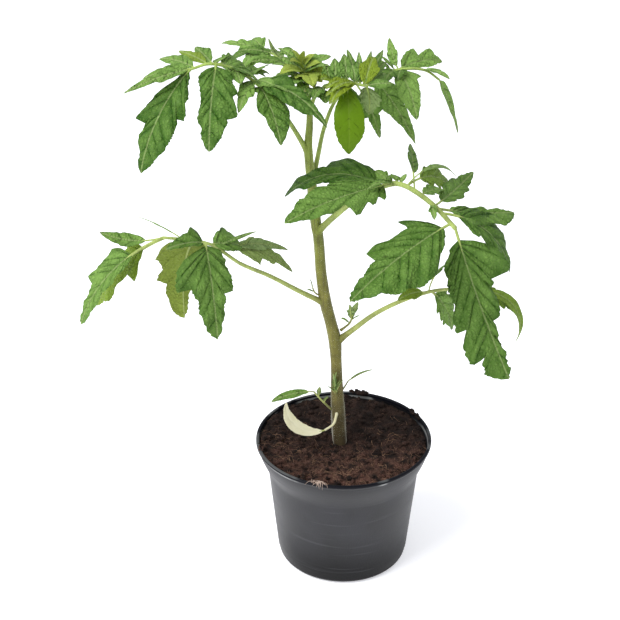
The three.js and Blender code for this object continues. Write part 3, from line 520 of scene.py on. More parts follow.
# %% Strew crumbs on the soil
LIP_CRUMBS = [
    (81, 6, 2.0), (77, 5, 2.4), (73, 5, 1.6), (30, 4, 2.0), (26, 4, 1.5), (252, 5, 1.0), (256, 4, 0.8),
    (190, 3, 1.0), (197, 4, 1.2),
]
LIP_BAND = (61.5, 64.6)
LIP_SEAT = 99.7
STREWN_TO = 60
LEAST_CRUMB = 0.4
CRUMB_RANGE = 1.7
DENTS = 0.55


def ball():
    """The points and faces of a small round ball of radius 1."""
    import bmesh

    work = bmesh.new()
    bmesh.ops.create_icosphere(work, subdivisions=2, radius=1)
    points = np.array([corner.co for corner in work.verts])
    faces = [[corner.index for corner in face.verts] for face in work.faces]
    work.free()
    return points, faces


def crumbs(count, seed):
    """Points and faces of all the crumbs together."""
    chance = random.Random(seed)
    places = []
    for _ in range(count):
        turn, radius = chance.uniform(0, 2 * math.pi), STREWN_TO * math.sqrt(chance.random())
        x, y = radius * math.cos(turn), radius * math.sin(turn)
        size = LEAST_CRUMB + CRUMB_RANGE * chance.random() ** 4
        places.append((x, y, soil_height(x, y) + size * 0.25, size))
    for degrees, number, greatest in LIP_CRUMBS:
        for _ in range(number):
            turn = math.radians(degrees + chance.uniform(-3.5, 3.5))
            radius, size = chance.uniform(*LIP_BAND), greatest * chance.uniform(0.5, 1)
            places.append((radius * math.cos(turn), radius * math.sin(turn), LIP_SEAT + size * 0.5, size))
    form, form_faces = ball()
    points, faces = [], []
    for x, y, z, size in places:
        stretch = np.array([chance.uniform(0.7, 1.35) for _ in range(3)]) * [1, 1, 0.8]
        shift = np.array([chance.uniform(0, 50) for _ in range(3)])
        dents = np.array([noise.noise((p * 1.4 + shift).tolist()) for p in form])
        first = len(points)
        points += ((form * (1 + DENTS * dents[:, None]) * stretch * size) + [x, y, z]).tolist()
        faces += [[corner + first for corner in face] for face in form_faces]
    return points, faces


soil_crumbs = make_piece("soil_crumbs", *crumbs(1500, 11), [peat], "peat")
print("faces in the crumbs:", len(soil_crumbs.data.polygons))

# %% [markdown]
# ## Threads and tubes
#
# Fibres, stalks and the stem are all the same kind of form: a line in space with a thickness. A curve with
# a bevel would make it too. Here a ring of corners is carried along the line, turned no more than it must
# be, because then the same code can also give the skin its small bumps and say where hairs may grow.

# %% A tube along a line
def unit(vectors):
    """The same directions with length 1."""
    vectors = np.asarray(vectors, dtype=float)
    return vectors / np.maximum(np.linalg.norm(vectors, axis=-1, keepdims=True), 1e-9)


def tube(line, radii, sides, first=0):
    """Points and faces of a closed tube. Rings run from 0 to the last, and a point closes each end."""
    line = np.asarray(line, dtype=float)
    radii = np.broadcast_to(np.asarray(radii, dtype=float), (len(line),))
    heading = unit(np.gradient(line, axis=0))
    start = np.cross(heading[0], (0, 0, 1))
    side = start if np.linalg.norm(start) > 0.1 else np.cross(heading[0], (0, 1, 0))
    turns = np.arange(sides) * 2 * math.pi / sides
    rings = []
    for centre, ahead, radius in zip(line, heading, radii):
        side = unit(side - ahead * np.dot(side, ahead))
        over = np.cross(side, ahead)
        rings.append(centre + radius * (np.cos(turns)[:, None] * side + np.sin(turns)[:, None] * over))
    ends = [line[0] - heading[0] * radii[0] * 0.5, line[-1] + heading[-1] * radii[-1] * 0.8]
    points = np.vstack([*rings, ends])
    faces = []
    for i in range(len(line) - 1):
        low, high = first + i * sides, first + (i + 1) * sides
        faces += [(low + (k + 1) % sides, low + k, high + k, high + (k + 1) % sides) for k in range(sides)]
    bottom = first + len(line) * sides
    last = first + (len(line) - 1) * sides
    faces += [(bottom, first + k, first + (k + 1) % sides) for k in range(sides)]
    faces += [(bottom + 1, last + (k + 1) % sides, last + k) for k in range(sides)]
    return points, faces


def along(points, place):
    """The spot on a smooth line through points, where place counts in points."""
    points = np.asarray(points, dtype=float)
    padded = np.vstack([2 * points[0] - points[1], points, 2 * points[-1] - points[-2]])
    i = min(int(place), len(points) - 2)
    w = place - i
    a, b, c, d = padded[i : i + 4]
    leave, arrive = (c - a) / 2, (d - b) / 2
    cubic = 2 * b - 2 * c + leave + arrive
    square = 3 * c - 3 * b - 2 * leave - arrive
    return cubic * w**3 + square * w**2 + leave * w + b


# %% [markdown]
# ## Fibres in the peat
#
# Peat is full of thin threads, and the dry ones at the surface catch the light. Each starts at a random spot
# on the soil, most often in front, takes a few short steps, turns a little at each and arches up between its
# ends. A particle system could strew them, but then they wouldn't follow the clods. A tuft of dry threads
# hangs out over the lip at the front, a little to the left.

# %% Lay fibres on the soil
MOST_FIBRES_AT = 255
FIBRE_LIMIT = 63
FIBRE_LIFT = 0.25


def fibres(count, seed):
    """Points and faces of thin, curved threads on the soil, most of them at the front."""
    chance = random.Random(seed)
    points, faces = [], []
    for _ in range(count):
        turn = math.radians(chance.gauss(MOST_FIBRES_AT, 70))
        radius = STREWN_TO * math.sqrt(chance.uniform(0.02, 1))
        x, y = radius * math.cos(turn), radius * math.sin(turn)
        way, curl = chance.uniform(0, 2 * math.pi), chance.uniform(-0.16, 0.16)
        length, lift = chance.uniform(2.5, 9), chance.uniform(0.1, 0.8)
        line = []
        steps = 8
        for step in range(steps + 1):
            if math.hypot(x, y) > FIBRE_LIMIT:
                break
            line.append((x, y, soil_height(x, y) + FIBRE_LIFT + lift * math.sin(math.pi * step / steps)))
            x, y = x + length / steps * math.cos(way), y + length / steps * math.sin(way)
            way += curl
        if len(line) > 3:
            thin = chance.uniform(0.08, 0.22) * (1 - 0.6 * np.linspace(0, 1, len(line)))
            more_points, more_faces = tube(line, thin, 4, len(points))
            points += more_points.tolist()
            faces += more_faces
    return points, faces


def tuft(count, degrees, seed):
    """Points and faces of a few threads that hang over the lip at one place."""
    chance = random.Random(seed)
    steps = np.arange(8)
    points, faces = [], []
    for _ in range(count):
        turn, sway = math.radians(chance.gauss(degrees, 2.4)), chance.uniform(-0.012, 0.012)
        start, drop = chance.uniform(60.5, 63), chance.uniform(0.8, 2.4)
        radii = start + 0.5 * steps
        turns = turn + sway * steps
        rise = POT_HEIGHT + 0.4 + 0.6 * np.sin(np.pi * steps / 7) - drop * np.maximum(0, radii - LIP_BAND[1])
        line = np.stack([radii * np.cos(turns), radii * np.sin(turns), rise], -1)
        more_points, more_faces = tube(line, np.linspace(0.24, 0.1, len(steps)), 4, len(points))
        points += more_points.tolist()
        faces += more_faces
    return points, faces


soil_fibres = make_piece("soil_fibres", *fibres(480, 5), [peat_fibre], "peat")
lip_fibres = make_piece("lip_fibres", *tuft(24, 253, 7), [dry_fibre], "peat")
print("faces in the fibres:", len(soil_fibres.data.polygons) + len(lip_fibres.data.polygons))

# %% [markdown]
# ## The stem and the stalks
#
# A tomato stem is brownish near the soil, where it turns woody, and fresh green at the top. Fine streaks run
# along it. The colour follows height through a colour ramp. Just above the soil its dense fuzz shows as a
# pale rim along both sides of the stem. That rim is a painted sheen: a Layer Weight node finds where the skin
# turns away from the eye and lightens the colour there. The leaf stalks are paler and yellower, with a touch
# of the same streaks, and take the stem's colour where they leave it. So they get a second material, which
# holds their own ramp and the stem's.

# %% Materials for the stem and the stalks
# The painted sheen of the fuzz fades out between these heights, in metres.
FUZZ_SHEEN_HEIGHTS = (0.105, 0.15)
FUZZ_SHEEN_COLOUR = (206, 202, 188)


def height_ramp(tree, spot, stops):
    """A colour that changes with height. stops maps a height in metres to a screen colour."""
    height = add_node(tree, "ShaderNodeSeparateXYZ", {"Vector": spot}).outputs["Z"]
    heights = sorted(stops)
    low, high = heights[0], heights[-1]
    span = add_node(tree, "ShaderNodeMapRange", {"Value": height, "From Min": low, "From Max": high})
    ramp = add_node(tree, "ShaderNodeValToRGB", {"Fac": span.outputs["Result"]})
    ramp.color_ramp.elements.remove(ramp.color_ramp.elements[1])
    ramp.color_ramp.elements[0].position = 0
    ramp.color_ramp.elements[0].color = srgb(*stops[low])
    for z in heights[1:]:
        ramp.color_ramp.elements.new((z - low) / (high - low)).color = srgb(*stops[z])
    return ramp.outputs["Color"]


def skin_material(name, stops, streak_colour, streak_share, root_stops=None, sheen_at_foot=0.0):
    """Green skin. Where the mesh says that it is near the stem, root_stops gives its colour instead."""
    material, tree, shader = new_material(name, Roughness=0.55, **{"Specular_IOR_Level": 0.25})
    marks = place_group(tree, mottling, Broad=110.0, Fine=1400.0)
    spot = tree.nodes.new("ShaderNodeTexCoord").outputs["Object"]
    skin = height_ramp(tree, spot, stops)
    if root_stops:
        near = add_node(tree, "ShaderNodeAttribute", attribute_name="near_stem").outputs["Fac"]
        skin = mix_colours(tree, near, skin, height_ramp(tree, spot, root_stops))
    stretched = add_node(
        tree, "ShaderNodeVectorMath", {0: spot, 1: (900.0, 900.0, 40.0)}, operation="MULTIPLY"
    )
    streaks = add_node(
        tree, "ShaderNodeTexNoise", {"Vector": stretched.outputs[0], "Scale": 1.0, "Detail": 3.0}
    )
    streak = calculate(tree, "MULTIPLY", ease(tree, streaks.outputs["Fac"], 0.45, 0.7), streak_share)
    colour = mix_colours(tree, streak, skin, srgb(*streak_colour))
    height = add_node(tree, "ShaderNodeSeparateXYZ", {"Vector": spot}).outputs["Z"]
    # Painted sheen: near the foot, a pale colour where the skin turns away from the eye.
    aside = ease(tree, add_node(tree, "ShaderNodeLayerWeight", {"Blend": 0.4}).outputs["Facing"], 0.35, 0.8)
    fuzz = calculate(tree, "MULTIPLY", aside, ease(tree, height, *FUZZ_SHEEN_HEIGHTS, sheen_at_foot, 0.0))
    colour = mix_colours(tree, fuzz, colour, srgb(*FUZZ_SHEEN_COLOUR))
    shade = mix_colours(tree, marks["Patches"], srgb(205, 205, 205), srgb(255, 255, 255))
    feed(tree, shader.inputs["Base Color"], mix_colours(tree, 1.0, colour, shade, "MULTIPLY"))
    relief = calculate(tree, "MULTIPLY_ADD", streaks.outputs["Fac"], 1.5, marks["Grain"])
    bump = add_node(tree, "ShaderNodeBump", {"Height": relief, "Strength": 0.5, "Distance": 0.00018})
    feed(tree, shader.inputs["Normal"], bump.outputs["Normal"])
    return material


STEM_COLOURS = {
    0.095: (88, 74, 54),
    0.120: (104, 94, 60),
    0.150: (116, 108, 54),
    0.180: (122, 118, 54),
    0.230: (132, 130, 62),
    0.270: (128, 138, 58),
    0.320: (142, 158, 74),
    0.380: (152, 172, 78),
}
stem_skin = skin_material("stem_skin", STEM_COLOURS, (92, 84, 50), 0.5, sheen_at_foot=0.8)
STALK_COLOURS = {0.10: (198, 204, 132), 0.22: (180, 192, 112), 0.30: (172, 190, 106), 0.40: (160, 186, 92)}
stalk_skin = skin_material("stalk_skin", STALK_COLOURS, (134, 146, 62), 0.4, STEM_COLOURS)
print("materials:", stem_skin.name, stalk_skin.name)

# %% [markdown]
# The stem is a tube along its own centre line, which bows a little to the left. Real stems swell where a
# leaf leaves them and are ridged along their length. The radius at each height comes from a short table,
# and every corner of the skin is then pushed in or out by stretched noise, by a few tenths of a millimetre
# at most, for the ridges.

# %% The main stem
STEM = [
    ((1, 0, 62), 3.2), ((-1, 0, 80), 4.8), ((-3, 0, 98), 5.2), ((-5, 0, 136), 4.7), ((-6, 0, 164), 4.1),
    ((-7, 0, 182), 4.6), ((-10, 0, 197), 4.2), ((-14, 0, 214), 4.3), ((-17, 0, 236), 3.8),
    ((-19, 0, 262), 3.6), ((-21, 0, 276), 3.6), ((-24, 0, 306), 3.2), ((-26, 0, 330), 2.8),
    ((-25, 0, 352), 2.1), ((-27, 0, 372), 1.6),
]
STEM_SIDES = 24
STEM_RINGS = 170
STEM_RIDGES = 0.42
# How fast the ridges change round the stem, and how slowly along each millimetre of it.
ROUND, ALONG = 2.2, 0.022


def ridged(points, line, sides, depth):
    """The points of a tube pushed in or out into long ridges."""
    rings = points[: len(line) * sides].reshape(len(line), sides, 3)
    out = unit(rings - np.asarray(line)[:, None])
    for ring, outward in zip(rings, out):
        for corner, away in zip(ring, outward):
            bump = noise.noise((away[0] * ROUND, away[1] * ROUND, corner[2] * ALONG))
            corner += away * depth * (bump + 0.4 * noise.noise((corner * 0.5).tolist()))
    points[: len(line) * sides] = rings.reshape(-1, 3)
    return points


places = np.linspace(0, len(STEM) - 1, STEM_RINGS)
stem_line = np.array([along([spot for spot, _ in STEM], place) for place in places])
stem_radii = np.array([along([(radius, 0, 0) for _, radius in STEM], place)[0] for place in places])
stem_points, stem_faces = tube(stem_line, stem_radii, STEM_SIDES)
stem_points = ridged(stem_points, stem_line, STEM_SIDES, STEM_RIDGES)
main_stem = make_piece("main_stem_skin", stem_points, stem_faces, [stem_skin], "stem", "main_stem")
print("faces in the stem:", len(main_stem.data.polygons))

# %% [markdown]
# ## Hairs
#
# Tomato stems and stalks are covered in short, soft hairs. Against a white ground they show as a pale fuzz
# along the edge, and without them the stem looks like wire. Blender's hair system could grow them, but
# hairs as thin three-sided spikes in one mesh stay with the piece when it is used elsewhere. Each spike
# starts at a random spot on the skin, points outwards and leans a little.

# %% Hairs on a tube
HAIR_RADIUS = 0.045
HAIR_ROOT = 0.08
HAIR_LEAN = 0.35
hair_white, tree, shader = new_material("plant_hair", Roughness=0.6)
marks = place_group(tree, mottling, Broad=50.0, Fine=500.0)
pale = mix_colours(tree, marks["Patches"], srgb(208, 214, 180), srgb(238, 240, 224))
feed(tree, shader.inputs["Base Color"], pale)
print("material:", hair_white.name)


def hairs(skins, density, length, seed):
    """Points and faces of hairs on tubes. A skin is its ring points, its centre line and its radii."""
    chance = np.random.default_rng(seed)
    points, faces, first = [], [], 0
    for rings, line, radii in skins:
        lengths = np.linalg.norm(np.diff(line, axis=0), axis=1)
        area = lengths * 2 * math.pi * (radii[1:] + radii[:-1]) / 2
        count = int(area.sum() * density)
        row = chance.choice(len(area), count, p=area / area.sum())
        share, column = chance.random(count)[:, None], chance.integers(0, rings.shape[1], count)
        base = rings[row, column] * (1 - share) + rings[row + 1, column] * share
        centre = line[row] * (1 - share) + line[row + 1] * share
        next_column = (column + 1) % rings.shape[1]
        beside = rings[row, next_column] * (1 - share) + rings[row + 1, next_column] * share
        slide = chance.random(count)[:, None]
        base = base * (1 - slide) + beside * slide
        away = unit(unit(base - centre) + HAIR_LEAN * chance.normal(size=(count, 3)))
        reach = length * chance.uniform(0.45, 1.15, count)[:, None]
        across = unit(np.cross(away, chance.normal(size=(count, 3))))
        over = np.cross(away, across)
        for turn in (0, 2 * math.pi / 3, 4 * math.pi / 3):
            sideways = math.cos(turn) * across + math.sin(turn) * over
            points.append(base - away * HAIR_ROOT + HAIR_RADIUS * sideways)
        points.append(base + away * reach)
        start = first + np.arange(count)
        a, b, c, tip = (start + k * count for k in range(4))
        sides = ((a, b, tip), (b, c, tip), (c, a, tip), (c, b, a))
        faces += np.vstack([np.column_stack(side) for side in sides]).tolist()
        first += 4 * count
    return np.vstack(points), faces


def skin_of(points, line, radii, sides):
    """What hairs() needs to know of a tube."""
    return points[: len(line) * sides].reshape(len(line), sides, 3), np.asarray(line), np.asarray(radii)


bare_stem = stem_line[:, 2] > SOIL_TOP
stem_skin_rings = skin_of(stem_points, stem_line, stem_radii, STEM_SIDES)
above_soil = tuple(part[bare_stem] for part in stem_skin_rings)
stem_fuzz = hairs([above_soil], density=0.55, length=1.1, seed=3)
stem_hairs = make_piece("main_stem_hairs", *stem_fuzz, [hair_white], "stem")
print("faces in the stem's hairs:", len(stem_hairs.data.polygons))

# %% [markdown]
# ## The tissue of a leaf
#
# A tomato leaflet has a pale midrib, side veins that leave it at a slant, and between them a fine net. The
# tissue bulges between the veins, so the upper face looks quilted. The mesh will carry five numbers on each
# point: the distances to the midrib and to the nearest side vein, both in millimetres, how far the tissue
# bulges there, how light a green this leaflet has within the leaf's range, and how much it glows. The group
# below turns them into masks. Veins could also be drawn on a picture, but then every leaflet would have to
# be unwrapped. It is one group because the upper face, the underside, the young leaves and the seed leaf
# all use it, each with veins of its own width.

# %% The leaf tissue group
leaf_tissue, given, gives = new_group(
    "leaf_tissue",
    {"Rib Width": 0.8, "Vein Width": 0.5, "Net": 420.0, "Quilting": 1.0},
    ["Veins", "Relief", "Patches", "Glow"],
)


def number_of(tree, name):
    """A number that the mesh carries on each point."""
    return add_node(tree, "ShaderNodeAttribute", attribute_name=name).outputs["Fac"]


# How far noise bends the cells of the net, in metres.
WARP = (0.0012, 0.0012, 0.0012)
spot = leaf_tissue.nodes.new("ShaderNodeTexCoord").outputs["Object"]
rib = ease(leaf_tissue, number_of(leaf_tissue, "rib_mm"), 0.0, given["Rib Width"], 1.0, 0.0)
vein_mm = number_of(leaf_tissue, "vein_mm")
side_vein = ease(leaf_tissue, vein_mm, 0.0, given["Vein Width"], 1.0, 0.0)
warped = add_node(leaf_tissue, "ShaderNodeTexNoise", {"Vector": spot, "Scale": 900.0, "Detail": 2.0})
bent = add_node(
    leaf_tissue, "ShaderNodeVectorMath", {0: warped.outputs["Color"], 1: WARP, 2: spot},
    operation="MULTIPLY_ADD"
)
cells = add_node(
    leaf_tissue, "ShaderNodeTexVoronoi", {"Vector": bent.outputs[0], "Scale": given["Net"]},
    feature="DISTANCE_TO_EDGE"
)
faint_side = calculate(leaf_tissue, "MULTIPLY", side_vein, 0.7)
feed(leaf_tissue, gives["Veins"], calculate(leaf_tissue, "MAXIMUM", rib, faint_side))
quilt = ease(leaf_tissue, cells.outputs["Distance"], 0.0, 0.4)
cushions = calculate(leaf_tissue, "MULTIPLY", quilt, given["Quilting"])
feed(leaf_tissue, gives["Relief"], calculate(leaf_tissue, "MULTIPLY_ADD", side_vein, -0.8, cushions))
print("nodes for veins, net and relief:", len(leaf_tissue.nodes))

# %% [markdown]
# The green of a leaflet isn't even either. Light and shade are painted into it: it is painted lighter where
# the tissue bulges and in the cells of the net, and painted darker as shade in the groove beside a side vein
# and along the lines of the net, more in some places than in others. Faint blotches lie over all of it. All
# this is added to the leaflet's own tone, and the sum says how far its colour lies from the dark to the light
# end of the leaf's range. Real shadows would do some of it, but the bulges are too low for soft light to show
# them as strongly as a leaf does.

# %% Painted light and shade on the tissue
# Painted shade beside the side veins, painted light on the bulges and in the cells of the net.
beside_vein = ease(leaf_tissue, vein_mm, 0.2, 0.8, 1.0, 0.0)
blotches = add_node(leaf_tissue, "ShaderNodeTexNoise", {"Vector": spot, "Scale": 120.0, "Detail": 5.0})
spots = ease(leaf_tissue, blotches.outputs["Fac"], 0.34, 0.66, -0.1, 0.1)
painted_bulge_light = calculate(leaf_tissue, "MULTIPLY_ADD", number_of(leaf_tissue, "bulge"), 0.45, -0.12)
breaks = add_node(leaf_tissue, "ShaderNodeTexNoise", {"Vector": spot, "Scale": 230.0, "Detail": 2.0})
depth = ease(leaf_tissue, breaks.outputs["Fac"], 0.4, 0.6, -0.05, -0.6)
painted_groove_shade = calculate(leaf_tissue, "MULTIPLY", beside_vein, depth)
painted_net_light_and_shade = calculate(leaf_tissue, "MULTIPLY_ADD", quilt, 0.2, -0.14)
painted_relief_shading = calculate(leaf_tissue, "ADD", calculate(leaf_tissue, "ADD", painted_bulge_light, painted_groove_shade), painted_net_light_and_shade)
painted_shading_and_blotches = calculate(leaf_tissue, "MULTIPLY_ADD", painted_relief_shading, given["Quilting"], spots)
tone = number_of(leaf_tissue, "tone")
feed(leaf_tissue, gives["Patches"], calculate(leaf_tissue, "ADD", tone, painted_shading_and_blotches))
leaf_tissue.nodes[-1].use_clamp = True
feed(leaf_tissue, gives["Glow"], number_of(leaf_tissue, "glow"))
print("group:", leaf_tissue.name, "gives", [socket.name for socket in gives if socket.name])

# %% [markdown]
# ## Leaf materials
#
# A leaf is thin enough for light to shine through. A Principled shader gives its colour and gloss, and a
# Translucent shader, mixed in, lets the light from behind through in a warmer green. How much light shines
# through differs from one leaflet to the next, so the mesh also carries a number named glow. It paints that
# light into the base colour, moving it from green to yellow-green. Subsurface scattering would do this too,
# but it is meant for thick things.

# %% The recipe for a leaf's face
LEAF_GLOSS = 0.18


def leaf_material(name, deep, fresh, vein, lit, vein_share, see_through, roughness, sizes, quilt=0.8):
    """A leaf's face. deep and fresh are its darkest and lightest green, and lit is its glow."""
    material, tree, shader = new_material(name, Roughness=roughness, **{"Specular_IOR_Level": LEAF_GLOSS})
    tissue = place_group(tree, leaf_tissue, **sizes)
    green = mix_colours(tree, tissue["Patches"], srgb(*deep), srgb(*fresh))
    # Painted light: the glow of light shining through a leaflet, mixed into its base colour.
    green = mix_colours(tree, tissue["Glow"], green, srgb(*lit))
    veined = mix_colours(tree, calculate(tree, "MULTIPLY", tissue["Veins"], vein_share), green, srgb(*vein))
    feed(tree, shader.inputs["Base Color"], veined)
    relief = {"Height": tissue["Relief"], "Strength": quilt, "Distance": 0.001}
    bump = add_node(tree, "ShaderNodeBump", relief)
    feed(tree, shader.inputs["Normal"], bump.outputs["Normal"])
    through = add_node(
        tree, "ShaderNodeBsdfTranslucent", {"Color": mix_colours(tree, 0.5, veined, srgb(*lit))}
    )
    shares = {0: see_through, 1: shader.outputs[0], 2: through.outputs[0]}
    both = add_node(tree, "ShaderNodeMixShader", shares)
    feed(tree, tree.nodes["Material Output"].inputs["Surface"], both.outputs[0])
    return material


# %% [markdown]
# Five materials come from this recipe: the upper face and the paler underside of a grown leaflet, the smooth
# leaflet in front, the yellow-green young leaves and the withered seed leaf. Two leaflets of the low left
# leaf turn their pale undersides to the viewer, so both their faces have that colour. Some leaflets of the
# growing tip, most of them its outer ones, are grown enough to be green.

# %% The faces of the leaves
SIZES = {"Rib_Width": 0.9, "Vein_Width": 0.45, "Net": 380.0}
YOUNG_SIZES = {"Rib_Width": 0.5, "Vein_Width": 0.35, "Net": 700.0, "Quilting": 0.6}
SMOOTH_SIZES = {"Rib_Width": 0.7, "Vein_Width": 0.3, "Net": 300.0, "Quilting": 0.12}
WITHERED_SIZES = {"Rib_Width": 0.5, "Vein_Width": 0.4, "Net": 700.0, "Quilting": 0.3}
leaf_upper = leaf_material(
    "leaf_upper", deep=(36, 84, 0), fresh=(148, 188, 94), vein=(190, 210, 140), lit=(144, 166, 36),
    vein_share=0.55, see_through=0.3, roughness=0.45, sizes=SIZES
)
leaf_under = leaf_material(
    "leaf_underside", deep=(100, 134, 66), fresh=(164, 188, 122), vein=(190, 204, 134), lit=(148, 164, 52),
    vein_share=0.6, see_through=0.3, roughness=0.6, sizes=SIZES
)
smooth_upper = leaf_material(
    "smooth_leaf", deep=(62, 108, 12), fresh=(96, 138, 18), vein=(136, 162, 60), lit=(104, 140, 16),
    vein_share=0.3, see_through=0.3, roughness=0.45, sizes=SMOOTH_SIZES
)
young_upper = leaf_material(
    "young_leaf", deep=(104, 150, 44), fresh=(196, 214, 100), vein=(196, 208, 100), lit=(196, 190, 50),
    vein_share=0.4, see_through=0.35, roughness=0.45, sizes=YOUNG_SIZES
)
withered = leaf_material(
    "withered_leaf", deep=(220, 214, 168), fresh=(246, 242, 212), vein=(250, 246, 224), lit=(214, 210, 130),
    vein_share=0.5, see_through=0.25, roughness=0.6, sizes=WITHERED_SIZES, quilt=0.25
)
MATERIALS = {
    "shoot_tip": [young_upper, young_upper],
    "seed_leaf": [withered, withered],
    "leaf_top_front_leaflet_0": [smooth_upper, leaf_under],
    "leaf_low_left_leaflet_2": [leaf_under, leaf_under],
    "leaf_low_left_leaflet_9": [leaf_under, leaf_under],
}
GREEN_AT_THE_TIP = (0, 4, 5, 7, 11, 12, 14, 16, 18)
MATERIALS.update({f"shoot_tip_leaflet_{k}": [leaf_upper, leaf_under] for k in GREEN_AT_THE_TIP})
print("materials:", leaf_upper.name, leaf_under.name, young_upper.name, withered.name)

# %% [markdown]
# ## What each leaf is like
#
# A tomato leaf is compound: one long stalk bears several leaflets, each on a short stalk of its own. The
# tables say, for each leaf, the line of its stalk, its radius at both ends, and its leaflets. A leaflet is
# the place on the stalk where it starts, the spot where its tip is, its width, the length of its own stalk,
# how far it bends on its way, how far it is rolled about its midrib, its outline, and how far its halves
# are folded up. Angles are in degrees and lengths in millimetres.

